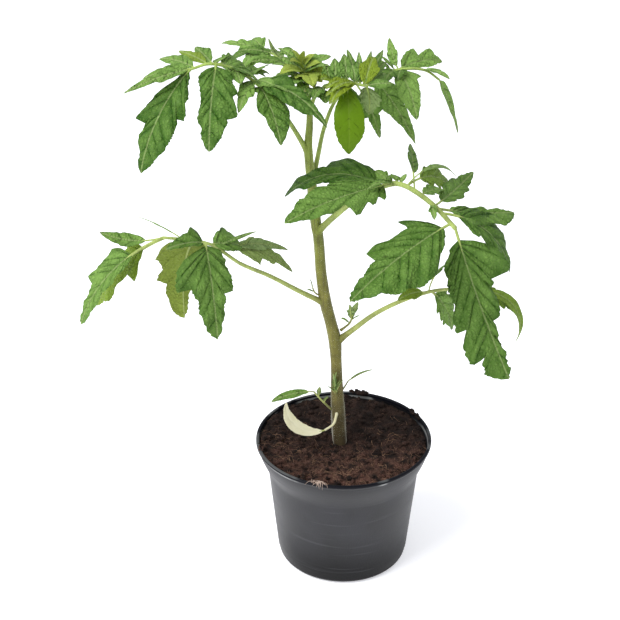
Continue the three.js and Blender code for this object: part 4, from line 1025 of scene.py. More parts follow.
# %% Outlines of leaflets
# Each pair is a share of the blade's length and of its half width, from the base to the tip. Small leaflets
# have two like halves. The large ones have a left and a right half of their own, seen from above with the
# tip ahead, because it is the uneven lobes that make them look like tomato.
OUTLINES = {
    "toothed": [
        (0.06, 0.5), (0.16, 0.82), (0.23, 0.68), (0.34, 1), (0.42, 0.74), (0.53, 0.8), (0.61, 0.52),
        (0.78, 0.36), (1, 0),
    ],
    "lobed": [
        (0.07, 0.55), (0.18, 0.8), (0.26, 0.62), (0.4, 1), (0.49, 0.52), (0.62, 0.44), (0.82, 0.26),
        (1, 0),
    ],
    "cleft": [(0.08, 0.5), (0.24, 1), (0.33, 0.45), (0.5, 0.6), (0.58, 0.38), (0.78, 0.3), (1, 0)],
    "small": [(0.15, 0.7), (0.4, 1), (0.5, 0.7), (0.7, 0.55), (1, 0)],
    "slim": [(0.25, 0.9), (0.6, 0.8), (1, 0)],
    "tailed": [(0.1, 0.8), (0.25, 1), (0.42, 0.75), (0.7, 0.4), (1, 0)],
    "smooth": [(0.12, 0.6), (0.35, 1), (0.6, 0.9), (0.82, 0.5), (1, 0)],
    "mitten": {
        "left": [(0.04, 0.5), (0.17, 0.58), (0.42, 0.74), (0.48, 0.34), (0.6, 0.34), (0.8, 0.2), (1, 0)],
        "right": [(0.04, 1), (0.17, 1.2), (0.28, 1.2), (0.33, 0.7), (0.48, 0.56), (0.8, 0.38), (1, 0)],
    },
    "wavy": {
        "left": [
            (0.02, 0.8), (0.28, 1.14), (0.42, 0.8), (0.54, 1), (0.6, 0.63), (0.76, 0.58), (0.93, 0.35),
            (1, 0),
        ],
        "right": [(0.02, 0.6), (0.28, 0.8), (0.54, 0.5), (0.6, 0.35), (0.76, 0.22), (1, 0)],
    },
    "hooked": {
        "left": [(0.07, 0.4), (0.26, 0.5), (0.51, 0.5), (0.68, 0.5), (0.86, 0.36), (1, 0)],
        "right": [(0.07, 1.1), (0.26, 0.82), (0.45, 0.97), (0.51, 0.46), (0.68, 0.28), (0.86, 0.2), (1, 0)],
    },
    "curled": {
        "left": [(0.05, 0.6), (0.14, 1.4), (0.26, 0.75), (0.5, 0.76), (0.67, 0.92), (0.8, 0.5), (1, 0)],
        "right": [(0.05, 0.6), (0.26, 0.6), (0.5, 0.4), (0.8, 0.16), (1, 0)],
    },
    "shield": {
        "left": [(0.05, 0.5), (0.25, 0.85), (0.42, 1.12), (0.52, 0.8), (0.78, 0.66), (1, 0)],
        "right": [(0.05, 0.45), (0.25, 0.7), (0.52, 0.5), (0.78, 0.36), (1, 0)],
    },
    "shouldered": {
        "left": [(0.04, 0.3), (0.25, 0.3), (0.5, 0.3), (0.75, 0.2), (1, 0)],
        "right": [(0.04, 1.35), (0.25, 0.8), (0.5, 0.58), (0.75, 0.3), (1, 0)],
    },
    "fingered": {
        "left": [
            (0.03, 0.75), (0.1, 0.46), (0.16, 0.9), (0.23, 0.64), (0.34, 1.08), (0.42, 0.4),
            (0.63, 0.55), (0.81, 0.3), (1, 0),
        ],
        "right": [(0.03, 0.55), (0.16, 0.6), (0.42, 0.76), (0.63, 0.65), (0.81, 0.36), (1, 0)],
    },
    "humped": {
        "left": [(0.05, 0.4), (0.28, 0.8), (0.41, 1), (0.56, 1.05), (0.72, 0.75), (0.86, 0.4), (1, 0)],
        "right": [
            (0.05, 1), (0.13, 1.2), (0.28, 1.55), (0.41, 1.35), (0.48, 0.62), (0.56, 0.7), (0.72, 0.74),
            (0.86, 0.46), (1, 0),
        ],
    },
    "winged": {
        "left": [
            (0.05, 0.45), (0.14, 0.85), (0.34, 1.32), (0.49, 1.1), (0.63, 0.93), (0.74, 0.62),
            (0.89, 0.26), (1, 0),
        ],
        "right": [
            (0.02, 0.7), (0.05, 1.3), (0.14, 0.7), (0.34, 0.81), (0.49, 0.97), (0.57, 0.4), (0.74, 0.33),
            (0.89, 0.18), (1, 0),
        ],
    },
    "ragged": {
        "left": [
            (0.04, 0.9), (0.12, 1.05), (0.21, 1.03), (0.27, 0.5), (0.34, 0.42), (0.53, 0.4),
            (0.58, 0.18), (0.72, 0.12), (0.88, 0.12), (1, 0),
        ],
        "right": [
            (0.04, 0.4), (0.12, 0.6), (0.34, 0.66), (0.5, 0.83), (0.53, 0.5), (0.58, 0.76), (0.7, 0.8),
            (0.745, 0.72), (0.76, 0.4), (0.84, 0.5), (0.9, 0.46), (1, 0),
        ],
    },
    "onesided": {
        "left": [(0.06, 0.3), (0.35, 0.35), (0.6, 0.28), (0.8, 0.2), (1, 0)],
        "right": [(0.06, 1.05), (0.24, 1), (0.35, 0.6), (0.6, 0.95), (0.8, 0.66), (1, 0)],
    },
    "broad": {
        "left": [
            (0.03, 0.8), (0.13, 0.85), (0.21, 1.1), (0.28, 0.95), (0.46, 1.18), (0.55, 0.76),
            (0.7, 0.64), (0.87, 0.34), (1, 0),
        ],
        "right": [
            (0.03, 0.55), (0.13, 0.68), (0.46, 0.48), (0.55, 0.54), (0.7, 0.36), (0.87, 0.25), (1, 0),
        ],
    },
    "spurred": {
        "left": [
            (0.08, 0.45), (0.2, 0.85), (0.31, 1.12), (0.36, 0.8), (0.45, 1), (0.6, 0.86), (0.8, 0.53),
            (1, 0),
        ],
        "right": [
            (0.08, 0.2), (0.2, 0.3), (0.31, 0.67), (0.49, 0.96), (0.54, 0.42), (0.6, 0.5), (0.8, 0.28),
            (1, 0),
        ],
    },
    "notched": {
        "left": [(0.03, 0.75), (0.3, 1.08), (0.58, 0.93), (0.8, 0.52), (1, 0)],
        "right": [(0.03, 0.9), (0.14, 0.4), (0.42, 0.83), (0.58, 0.58), (0.8, 0.28), (1, 0)],
    },
    "swept": {
        "left": [(0.03, 0.55), (0.15, 0.87), (0.34, 0.5), (0.55, 0.32), (0.78, 0.16), (1, 0)],
        "right": [(0.03, 0.4), (0.15, 0.7), (0.44, 0.8), (0.62, 0.7), (0.78, 0.2), (1, 0)],
    },
    "forked": {
        "left": [(0.05, 0.5), (0.33, 0.87), (0.44, 0.3), (0.68, 0.75), (0.78, 0.3), (1, 0)],
        "right": [(0.05, 0.35), (0.44, 0.5), (0.78, 0.3), (1, 0)],
    },
    "arrow": {
        "left": [(0.08, 1.4), (0.2, 0.95), (0.42, 0.8), (0.62, 0.6), (0.86, 0.28), (1, 0)],
        "right": [(0.08, 0.62), (0.42, 0.9), (0.62, 0.8), (0.86, 0.4), (1, 0)],
    },
}
print("outlines:", ", ".join(OUTLINES))

# %% The leaves
LEAVES = [
    {
        "name": "leaf_low_right",
        "line": [
            (-5, 0, 182), (6, -3, 193), (21, -4, 206), (39, -2, 215), (60, 3, 220),
            (80, 11, 218), (98, 19, 212),
        ],
        "radius": (2.5, 0.9),
        "leaflets": [
            (4.05, (78, 12, 184), 24, 4, 35, -60, "toothed", 14),
            (3.9, (36, -14, 222), 11, 5, 40, 30, "small", 12),
            (3.95, (72, 14, 236), 7, 12, 80, 28, "small", 6),
            (5.2, (100, 52, 203), 22, 5, 60, 0, "toothed", 14),
            (5.9, (129, 26, 186), 15, 3, 40, -40, "lobed", 20),
            (6, (125, 18, 170), 10, 4, 118, -30, "slim", 20),
        ],
    },
    {
        "name": "leaf_low_left",
        "line": [
            (-14, 0, 212), (-32, -8, 226), (-52, -20, 244), (-72, -32, 260), (-89, -38, 276),
            (-104, -40, 281), (-122, -42, 284),
        ],
        "radius": (2.4, 0.9),
        "leaflets": [
            (4.35, (-87, -57, 215), 40, 2, 16, 2, "mitten", 10),
            (4.1, (-71, -24, 269), 26, 2, 30, -25, "shield", 10),
            (3.7, (-37, 2, 236), 22, 14, 44, -45, "cleft", 10),
            (4.9, (-113, -12, 207), 36, 4, 60, -12, "wavy", 12),
            (4.35, (-119, -56, 282), 18, 2, 30, 38, "shouldered", 12),
            (5.3, (-141, -20, 289), 4, 8, 20, -28, "small", 4),
            (6, (-179, -52, 224), 26, 24, 52, 30, "hooked", 12),
            (5.9, (-172, -24, 223), 24, 20, 40, 50, "curled", 12),
            (6, (-164, -40, 287), 11, 12, -45, 35, "small", 12),
            (3.75, (-40, 6, 251), 9, 14, 30, -45, "small", 12),
            (3.9, (-61, -20, 278), 3, 3, 10, -30, "slim", 12),
        ],
    },
    {
        "name": "leaf_mid_right",
        "line": [
            (-20, 0, 268), (-8, -10, 285), (7, -23, 304), (24, -35, 318), (36, -41, 321),
            (54, -48, 311), (69, -58, 298),
        ],
        "radius": (2.6, 1.5),
        "leaflets": [
            (3.1, (-41, -76, 310), 38, 3, 20, 15, "fingered", 10),
            (2.9, (-42, -18, 302), 26, 3, 80, 8, "humped", 14),
            (3.4, (24, -36, 326), 10, 1, 30, -10, "small", 12),
            (3.8, (38, -34, 326), 4, 1, 30, 0, "slim", 12),
            (4.4, (43, 11, 329), 10, 18, 20, -40, "small", 18),
            (4.1, (72, 0, 298), 18, 15, 66, -50, "toothed", 12),
            (5.1, (87, 14, 307), 18, 12, -10, -25, "toothed", 14),
            (5.0, (55, -60, 305), 6, 1, 20, 0, "small", 20),
            (5.2, (112, -20, 292), 26, 11, -12, -20, "onesided", 12),
            (5.4, (108, -44, 259), 32, 12, 70, -25, "toothed", 12),
            (5.8, (0, -108, 271), 42, 7, 20, 10, "winged", 8),
            (6, (105, -95, 207), 50, 8, -10, -30, "ragged", 8),
            (4.1, (75, 6, 306), 4, 18, 75, -30, "slim", 12),
        ],
    },
    {
        "name": "leaf_top_left",
        "line": [
            (-26, 0, 326), (-33, -4, 341), (-42, -10, 358), (-55, -16, 377), (-70, -18, 390),
            (-87, -20, 396), (-101, -22, 393),
        ],
        "radius": (2, 0.9),
        "leaflets": [
            (3.2, (-43, -62, 357), 22, 3, 50, 8, "notched", 10),
            (3.35, (-14, -52, 365), 24, 6, 60, -20, "swept", 12),
            (3.4, (-70, -42, 371), 11, 4, 45, 0, "small", 14),
            (4.85, (-89, -50, 348), 29, 2, 45, 0, "broad", 10),
            (4.8, (-66, -4, 386), 22, 3, 40, -30, "toothed", 10),
            (5.0, (-100, 10, 397), 11, 3, 10, 35, "small", 10),
            (5.2, (-112, 20, 391), 8, 3, 10, 35, "small", 10),
            (6, (-133, -50, 333), 33, 2, 42, 12, "spurred", 8),
            (6, (-142, -42, 384), 8, 2, 20, 30, "small", 12),
            (5.9, (-132, -20, 386), 10, 2, 20, 30, "small", 12),
            (5.8, (-124, 10, 389), 11, 2, 20, 30, "small", 12),
            (3.4, (-66, -8, 372), 15, 1, 40, 20, "small", 12),
            (3.7, (-76, -8, 380), 11, 1, 40, 0, "small", 12),
            (3.4, (-69, -30, 379), 11, 1, 50, 0, "small", 12),
        ],
    },
    {
        "name": "leaf_top_right",
        "line": [
            (-23, 0, 306), (-19, 8, 324), (-15, 15, 340), (-7, 21, 357), (9, 24, 370),
            (32, 22, 377), (50, 18, 379), (61, 15, 373),
        ],
        "radius": (2, 0.8),
        "leaflets": [
            (4.35, (48, 30, 321), 17, 4, 15, -75, "tailed", 14),
            (5.1, (45, -15, 356), 18, 2, 50, 0, "arrow", 10),
            (5.1, (65, 40, 377), 24, 3, 40, -35, "forked", 14),
            (5.1, (28, 30, 397), 8, 3, -25, 60, "small", 20),
            (5, (22, 24, 386), 6, 2, 20, 0, "slim", 16),
            (6, (67, 4, 377), 8, 2, 40, 0, "small", 16),
            (7, (76, 22, 332), 9, 1, 12, -55, "tailed", 22),
            (3.8, (22, 6, 335), 15, 8, 40, -60, "lobed", 14),
        ],
    },
    {
        "name": "leaf_top_front",
        "line": [
            (-25, 0, 356), (-21, -6, 370), (-12, -14, 380), (0, -22, 384), (11, -28, 384),
        ],
        "radius": (1.7, 0.8),
        "leaflets": [
            (2.9, (0, -42, 343), 19, 5, 70, 0, "smooth", 6),
            (3.2, (-15, -36, 380), 7, 2, 50, 20, "slim", 12),
            (2.6, (5, -34, 363), 13, 3, 60, 0, "small", 10),
            (4, (23, 8, 396), 7, 3, 10, -30, "slim", 10),
            (4, (13, -24, 363), 18, 2, 60, 0, "toothed", 8),
            (3.7, (-1, 0, 399), 10, 2, -20, -20, "small", 18),
            (3.8, (15, 6, 396), 7, 3, -20, -20, "slim", 14),
            (3.9, (16, -6, 396), 14, 1, 30, -10, "small", 20),
            (3.6, (7, 4, 396), 5, 3, 10, 0, "slim", 14),
            (3.3, (-13, -40, 376), 7, 1, 60, 25, "slim", 12),
            (2.8, (-2, -2, 394), 12, 2, 10, 0, "slim", 20),
            (2.4, (-8, -6, 391), 11, 2, 10, 0, "slim", 20),
            (4, (28, -24, 384), 8, 1, 20, -30, "slim", 12),
            (3, (-15, -34, 384), 8, 1, 70, 20, "slim", 12),
            (3.4, (-12, -42, 377), 9, 1, 80, 20, "slim", 12),
            (4, (24, -10, 386), 14, 1, 30, -30, "small", 12),
            (3.4, (2, -14, 393), 11, 1, 30, 0, "small", 12),
        ],
    },
    {
        "name": "leaf_top_back",
        "line": [
            (-27, 1, 366), (-33, 10, 377), (-43, 22, 384), (-53, 34, 386), (-60, 44, 384),
        ],
        "radius": (1.4, 0.7),
        "leaflets": [
            (4, (-86, 60, 383), 16, 1, 30, 10, "cleft", 12),
            (3.2, (-43, 50, 375), 12, 2, 50, 0, "small", 12),
            (3, (-68, 24, 376), 14, 2, 45, 0, "small", 12),
            (2.2, (-52, 10, 403), 5, 2, -30, 0, "small", 20),
            (3.4, (-64, 56, 388), 12, 2, 20, 20, "small", 16),
            (2.4, (-36, 26, 390), 8, 2, 40, -20, "slim", 12),
            (2.6, (-72, 30, 388), 9, 2, 30, 30, "small", 12),
            (1.6, (-63, 4, 389), 8, 3, 40, 30, "slim", 12),
            (3.3, (-70, 20, 379), 12, 2, 50, 0, "small", 12),
            (3.8, (-79, 30, 381), 13, 1, 40, 0, "small", 12),
        ],
    },
    {
        "name": "shoot_tip",
        "line": [
            (-27.2, 0.2, 372.6), (-28, 0, 378), (-29, 0, 384), (-30, 0, 388),
        ],
        "radius": (1.7, 1.1),
        "leaflets": [
            (2.4, (-46, 8, 397), 9, 2, 40, 10, "small", 20),
            (2.7, (-37, 2, 398), 7, 2, 25, 0, "slim", 24),
            (2.9, (-29, -3, 399), 7, 1, 20, -30, "slim", 24),
            (2.6, (-22, 2, 395), 7, 2, 40, -10, "slim", 20),
            (2.2, (-11, 6, 392), 11, 3, 50, -20, "small", 16),
            (1.6, (-13, -10, 391), 9, 2, 50, -10, "slim", 16),
            (1.8, (-44, -14, 387), 13, 2, 60, 10, "small", 16),
            (1.2, (-29, 17, 386), 8, 2, 60, 0, "slim", 16),
            (2.1, (-38, -12, 395), 7, 2, 60, 20, "slim", 20),
            (2, (-18, -4, 391), 7, 2, 60, -20, "slim", 20),
            (1.4, (-23, -20, 381), 15, 1, 70, 0, "small", 16),
            (1.4, (-50, -4, 390), 7, 2, 50, 0, "slim", 16),
            (0.9, (-41, -18, 379), 15, 1, 60, 0, "small", 12),
            (1.7, (-13, -4, 384), 15, 2, 50, -20, "small", 12),
        ],
    },
    {
        "name": "axil_shoot_right",
        "line": [
            (-3, -1, 191), (3, -2, 197), (5, -2, 202),
        ],
        "radius": (0.9, 0.7),
        "leaflets": [
            (2, (9, -3, 215), 6.5, 1, 15, 50, "small", 14),
            (1.6, (10, -5, 205), 3.4, 1, 20, 0, "small", 14),
        ],
    },
    {
        "name": "axil_shoot_left",
        "line": [
            (-16, -1, 218), (-21, -3, 222), (-23, -3, 226),
        ],
        "radius": (0.8, 0.5),
        "leaflets": [
            (2, (-25, -3, 233), 2.6, 1, 20, 0, "smooth", 14),
            (1.3, (-27, -5, 226), 2.6, 1, 20, 0, "smooth", 14),
        ],
    },
    {
        "name": "basal_shoot_left",
        "line": [
            (-4, -1, 120), (-11, -2, 127), (-17, -4, 135), (-22, -5, 142),
        ],
        "radius": (1.1, 0.6),
        "leaflets": [
            (3, (-53, -11, 137), 7, 4, 35, 30, "smooth", 16),
            (2.3, (-18, -8, 148), 4, 2, 10, 0, "small", 14),
            (1.6, (-12, -8, 140), 4, 2, 10, 0, "small", 14),
        ],
    },
    {
        "name": "basal_shoot_right",
        "line": [
            (-4, 0, 136), (0, 1, 142), (3, 2, 147),
        ],
        "radius": (0.9, 0.5),
        "leaflets": [
            (2, (21, 6, 154), 4.4, 2, 30, 50, "smooth", 20),
        ],
    },
    {
        "name": "basal_shoot_front",
        "line": [
            (-5, -3, 138), (-6, -6.5, 141), (-7, -8, 145),
        ],
        "radius": (1, 0.7),
        "leaflets": [
            (2, (-8.5, -9, 160), 4, 1, 10, 0, "small", 18),
            (1.6, (-3, -10, 155), 4, 1, 20, 0, "small", 18),
            (1.2, (-12, -9, 149), 3, 1, 20, 0, "smooth", 18),
        ],
    },
    {
        "name": "seed_leaf",
        "line": [
            (-5, -3, 124), (-6, -7, 121), (-8, -10, 117), (-14, -13, 114),
        ],
        "radius": (1.1, 0.8),
        "leaflets": [
            (3, (-42, -16, 140), 9, 2, -115, 62, "smooth", 12),
        ],
    },
]

# %% [markdown]
# The solid model has to stay light, so it leaves out some of the smallest leaflets: most stand round the
# growing tip, and a few where the large leaf arches and at the shoots on the stem. They have the same form
# as the others and are added here.

# %% The smallest leaflets
MORE_LEAFLETS = {
    "leaf_top_left": [
        (4.6, (-62, -12, 384), 14, 2, 40, -25, "toothed", 12),
        (4.2, (-69, -30, 386), 11, 2, 50, 0, "small", 12),
        (4.9, (-78, 4, 392), 12, 2, 30, 20, "small", 12),
        (3.8, (-51, 2, 381), 12, 2, 40, -20, "lobed", 12),
        (3.0, (-39, -36, 383), 10, 2, 50, 10, "small", 12),
        (4.4, (-57, -26, 385), 13, 2, 50, 10, "lobed", 12),
        (3.4, (-47, -28, 383), 13, 2, 50, -10, "small", 12),
        (4.75, (-66, -24, 377), 12, 2, 60, 10, "small", 12),
        (3.6, (-52, 6, 386), 9, 2, 30, 20, "small", 12),
    ],
    "shoot_tip": [
        (1.0, (-47, -8, 384), 13, 2, 50, 10, "lobed", 14),
        (1.2, (-39, -16, 378), 11, 2, 60, 0, "small", 14),
        (0.6, (-32, -18, 375), 9, 1, 60, 0, "small", 14),
        (1.5, (-17, -10, 380), 11, 2, 50, -20, "small", 14),
        (2.0, (-45, 6, 391), 10, 2, 30, 20, "lobed", 14),
        (1.3, (-34, -14, 384), 12, 2, 50, -10, "lobed", 14),
        (1.1, (-22, -18, 379), 10, 2, 60, 0, "small", 14),
    ],
    "leaf_top_front": [
        (2.2, (-18, -24, 387), 10, 1, 60, 20, "small", 12),
        (1.6, (-23, -26, 374), 9, 2, 60, 10, "small", 12),
        (2.3, (-9, -6, 395), 9, 2, 20, 0, "small", 16),
        (2.9, (-3, -6, 398), 8, 2, 20, 0, "slim", 16),
        (2.0, (-15, -8, 392), 9, 2, 20, 10, "small", 16),
        (3.4, (-12, -40, 384), 9, 1, 60, 20, "lobed", 12),
        (4.0, (25, 4, 389), 9, 2, 20, -20, "small", 14),
        (1.2, (-27, -24, 376), 12, 2, 50, 10, "lobed", 12),
        (1.8, (-12, -20, 382), 11, 2, 50, -20, "small", 12),
        (1.5, (-15, -22, 370), 14, 2, 50, 15, "toothed", 12),
        (1.0, (-31, -24, 370), 12, 2, 60, 0, "small", 12),
    ],
    "leaf_top_right": [
        (4.9, (20, 16, 385), 10, 2, 20, 20, "small", 14),
        (5.2, (33, 6, 376), 11, 2, 30, -20, "small", 14),
        (4.6, (12, 10, 383), 12, 2, 30, 20, "lobed", 14),
        (5.0, (23, -2, 376), 10, 2, 40, 20, "small", 14),
    ],
    "leaf_top_back": [
        (2.8, (-57, 22, 383), 9, 2, 40, 20, "small", 14),
        (1.4, (-43, 10, 384), 10, 2, 40, 0, "small", 14),
    ],
    "leaf_mid_right": [
        (3.2, (18, -26, 325), 9, 2, 30, 30, "small", 14),
        (3.7, (29, -30, 324), 9, 2, 30, -20, "small", 14),
        (3.5, (12, -50, 322), 8, 1, 60, 0, "small", 14),
        (4.6, (64, -24, 310), 12, 3, 30, -20, "lobed", 12),
    ],
    "axil_shoot_right": [
        (1.6, (3, -5, 214), 6.5, 1, 20, -10, "lobed", 14),
        (1.1, (-3, -5, 203), 4.5, 1, 20, 10, "small", 14),
    ],
    "basal_shoot_front": [
        (1.9, (-6, -9, 161), 5, 1, 20, 0, "lobed", 14),
        (1.3, (-1, -10, 155), 4.5, 1, 20, 0, "small", 14),
        (0.9, (-8, -9, 148), 4, 1, 30, 0, "small", 14),
    ],
}
print("leaflets only in this scene:", sum(len(each) for each in MORE_LEAFLETS.values()))
print("leaves:", len(LEAVES), "with", sum(len(leaf["leaflets"]) for leaf in LEAVES), "leaflets")

# %% [markdown]
# ## From outline to blade
#
# The blade of a leaflet is a grid. Its rows cross the midrib and its columns run along it. The midrib is an
# arc from the leaflet's stalk to its tip. Each row leaves the midrib at a slant and reaches out as far as
# the outline says, as the side veins of a tomato leaflet do, so the rows fall where the veins are. Cutting
# a shape out of a flat plane would be simpler, but then the veins, the folds and the edge could not be made
# to follow the lobes.

# %% The midrib's arc
def midrib(start, tip, bend, roll):
    """The arc's length, and a function that gives centre, heading, across and up at shares of its length."""
    bend, roll = math.radians(bend), math.radians(roll)
    chord = np.subtract(tip, start)
    ahead = unit(chord)
    bulge = unit(np.array([0, 0, 1]) - ahead * ahead[2])
    side = np.cross(ahead, bulge)
    half = bend / 2
    length = np.linalg.norm(chord) * half / math.sin(half)

    def at(shares):
        angle = (half - bend * np.asarray(shares, dtype=float))[:, None]
        rise = length / bend * (np.cos(angle) - math.cos(half))
        run = length / bend * (math.sin(half) - np.sin(angle))
        heading = np.cos(angle) * ahead + np.sin(angle) * bulge
        up = np.cos(angle) * bulge - np.sin(angle) * ahead
        across = math.cos(roll) * side + math.sin(roll) * up
        upright = math.cos(roll) * up - math.sin(roll) * side
        return start + run * ahead + rise * bulge, heading, across, upright

    return length, at


def scatter(a, b):
    """The same fraction from 0 to 1 each time for the same two numbers."""
    value = math.sin(a * 12.9898 + b * 78.233) * 43758.5453
    return value - math.floor(value)


# %% [markdown]
# The outline in the table has only its main corners. Between them the edge swells on its way out to a lobe
# and hollows behind it where a notch follows, and small uneven teeth break it up. Two like halves differ a
# little in size, because no leaflet is symmetrical. Both halves share one set of rows, with a row at every
# corner of either.

# %% A leaflet's margin
UNEVEN = 0.24
LEAN = 0.4
GREATEST_LEAN = 0.3
ROW_STEP = 0.9
NARROWEST = 0.12
SWELL = 0.16
HOLLOW = 0.06
TEETH = 0.034


def corners_of(outline, width, length, side, seed, base):
    """The corners of one half: share of the blade's length, reach to the side and lean forward."""
    alike = isinstance(outline, list)
    corners = [(0.0, base, 0.0)]
    for k, (share, reach) in enumerate(outline if alike else outline["left" if side < 0 else "right"]):
        size = 1 + UNEVEN * (scatter(seed + k, side) - 0.5) if alike else 1
        reach = max(NARROWEST, width / 2 * reach * size)
        corners.append((share, reach, min(reach * LEAN, (1 - share) * length * GREATEST_LEAN)))
    return np.array(corners)


def row_shares(halves, length):
    """The shares of the blade's length where it has a row: the corners of both halves and steps between."""
    stops = sorted({share for half in halves for share in half[:, 0]})
    shares = []
    for here, there in zip(stops, stops[1:]):
        steps = max(2, min(8, round((there - here) * length / ROW_STEP)))
        shares += np.linspace(here, there, steps, endpoint=False).tolist()
    return np.array(shares + [1.0])


def margin(corners, shares, width, seed):
    """How far one half reaches at each row, and how far it leans forward there."""
    reach = np.interp(shares, corners[:, 0], corners[:, 1])
    for k, (here, there) in enumerate(zip(corners, corners[1:])):
        rise = there[1] - here[1]
        notch = k + 2 < len(corners) and corners[k + 2][1] > there[1]
        if rise > 0:
            swell = SWELL * rise + 0.012 * width
        else:
            swell = -HOLLOW * width * (0.6 if notch else -0.55)
        w = np.clip((shares - here[0]) / (there[0] - here[0]), 0, 1)
        reach += 4 * w * (1 - w) * swell
    teeth = np.array([scatter(seed * 3 + row, seed + 7) - 0.5 for row in range(len(shares))])
    teeth[np.isin(shares, corners[:, 0])] = 0
    return np.maximum(0.1, reach + TEETH * width * teeth), np.interp(shares, corners[:, 0], corners[:, 2])


# %% [markdown]
# Side veins run out to the lobes, and more fill the gaps between them at uneven steps. Counting the veins
# from row to row gives one number that is whole on a vein and halfway between two, so a sine of it makes the
# tissue bulge between them. A second, shorter wave along the row breaks each bulge up into cushions. The
# veins in the colour wander a little off their rows, because real ones are never straight. The rim of the
# blade also waves up and down, a little more on wide leaflets.

# %% Where the side veins are
VEIN_STEP = 9
VEIN_STRAY = 0.8
LAST_VEIN = 0.97


def vein_rows(corners, shares, length):
    """The rows on which a side vein of one half lies."""
    reach = corners[:, 1]
    tips = [corners[k, 0] for k in range(1, len(reach) - 1) if reach[k - 1] < reach[k] >= reach[k + 1]]
    stops = [0.0, *tips, LAST_VEIN]
    filled = []
    for here, there in zip(stops, stops[1:]):
        parts = max(1, round((there - here) * length / VEIN_STEP))
        strayed = [k + VEIN_STRAY * (scatter(k, 9 * here) - 0.5) * (k > 0) for k in range(parts)]
        filled += [here + (there - here) * k / parts for k in strayed]
    return sorted({int(np.argmin(abs(shares - share))) for share in filled + [LAST_VEIN]})


def to_side_vein(flat, out, left, veins, seed):
    """How far each point is from the nearest side vein of its half, in millimetres. The veins wander."""
    lengthwise, across = flat[..., 0], flat[..., 1]
    stray = out * (0.9 * np.sin(0.6 * across + seed) + 0.4 * np.sin(1.7 * across + 3 * lengthwise))
    bent = flat + np.stack([stray, 0 * stray], -1)
    near = [np.min([np.linalg.norm(bent - flat[v], axis=-1) for v in found], axis=0) for found in veins]
    return np.where(left, *near)


# %% [markdown]
# A blade has an upper face and an underside, three tenths of a millimetre apart, that meet at the rim. The
# same grid makes both: each point inside the rim is there twice, once pushed up and once down. A Solidify
# modifier could do this, but it would leave a flat border all round, and a leaf's edge is sharp.

# %% The upper face and the underside
THICKNESS = 0.3


def two_faces(middle, up):
    """Points, the faces above, the faces below, and which points of the grid are there twice."""
    inside = np.zeros(middle.shape[:2], dtype=bool)
    inside[1:-1, 1:-1] = True
    shift = up * (THICKNESS / 2 * inside)[..., None]
    number = np.arange(inside.size).reshape(inside.shape)
    below = number.copy()
    below[inside] = inside.size + np.arange(inside.sum())
    points = np.vstack([(middle + shift).reshape(-1, 3), (middle - shift)[inside]])
    a, b, c, d = number[:-1, :-1], number[:-1, 1:], number[1:, 1:], number[1:, :-1]
    e, f, g, h = below[:-1, :-1], below[:-1, 1:], below[1:, 1:], below[1:, :-1]
    top = np.stack([a, b, c, d], -1).reshape(-1, 4)
    bottom = np.stack([h, g, f, e], -1).reshape(-1, 4)
    return points, top, bottom, inside


# %% [markdown]
# Now the blade itself. Its middle surface starts at the midrib and reaches out as far as the margin says. On
# its way it folds up, droops towards the rim, bulges between the veins and waves. It could be sculpted by
# hand, but the plant has more than a hundred leaflets, and a formula gives each one a form of its own.

# %% The blade as a closed mesh
COLUMNS = [0, 0.03, 0.07, *np.linspace(0.12, 0.9, 15), 0.95, 0.98, 1]
PUCKER = 0.055
WAVE = 0.03
SLANT = 0.9
CUSHION = 4.2
DROOP = 0.35


def blade(rib, bare, outline, width, fold, seed, base, length, smooth):
    """Points, faces, which face is above, and the numbers on each point, for one leaflet."""
    halves = [corners_of(outline, width, length, side, seed, base) for side in (-1, 1)]
    shares = row_shares(halves, length)
    edges = [margin(half, shares, width, seed + k) for k, half in enumerate(halves)]
    veins = [vein_rows(half, shares, length) for half in halves]
    rows = np.arange(len(shares))
    counts = [np.interp(rows, found, np.arange(len(found)))[:, None] for found in veins]
    spread = np.array([-c for c in COLUMNS[:0:-1]] + COLUMNS)
    left, out = spread < 0, abs(spread)
    reach = np.where(left, *(reach[:, None] for reach, _ in edges)) * out
    lean = np.where(left, *(lean[:, None] for _, lean in edges)) * out**1.4
    count = np.where(left, *counts)
    back = SLANT * width / 2 / length * np.sin(math.pi * shares**0.6)
    place = np.maximum(shares - back, shares * 0.2)[:, None] * (1 - out) + shares[:, None] * out
    frames = rib((bare + (1 - bare) * place).ravel())
    centre, heading, across, up = (part.reshape(*reach.shape, 3) for part in frames)
    half_of = np.where(left, -1, 1)
    cushions = abs(np.sin(math.pi * (reach / CUSHION + 0.37 * np.floor(count))))
    bulge = abs(np.sin(math.pi * count)) ** 0.7 * (0.6 + 0.4 * cushions) * np.sqrt(out) * (1 - out**3)
    phase = np.where(left, scatter(seed, 3), scatter(seed, 4)) * 2 * math.pi
    wave = np.sin(math.pi * count + phase) * out**2
    taper = np.clip((1 - shares) * 4, 0, 1) * np.clip(shares * 8, 0, 1) * (0.25 if smooth else 1)
    rise = reach * math.tan(math.radians(fold)) - DROOP * reach**2 / width
    rise = rise + taper[:, None] * width * (PUCKER * bulge + WAVE * wave)
    middle = centre + across * (half_of * reach)[..., None] + heading * lean[..., None] + up * rise[..., None]
    flat = np.stack([place * length + lean, half_of * reach], -1)
    to_vein = to_side_vein(flat, out, left, veins, seed)
    points, top, bottom, twice = two_faces(middle, up)
    grids = {"rib_mm": reach, "vein_mm": to_vein, "bulge": bulge * taper[:, None]}
    numbers = {key: np.concatenate([grid.ravel(), grid[twice]]) for key, grid in grids.items()}
    return points, np.vstack([top, bottom]).tolist(), [0] * len(top) + [1] * len(bottom), numbers


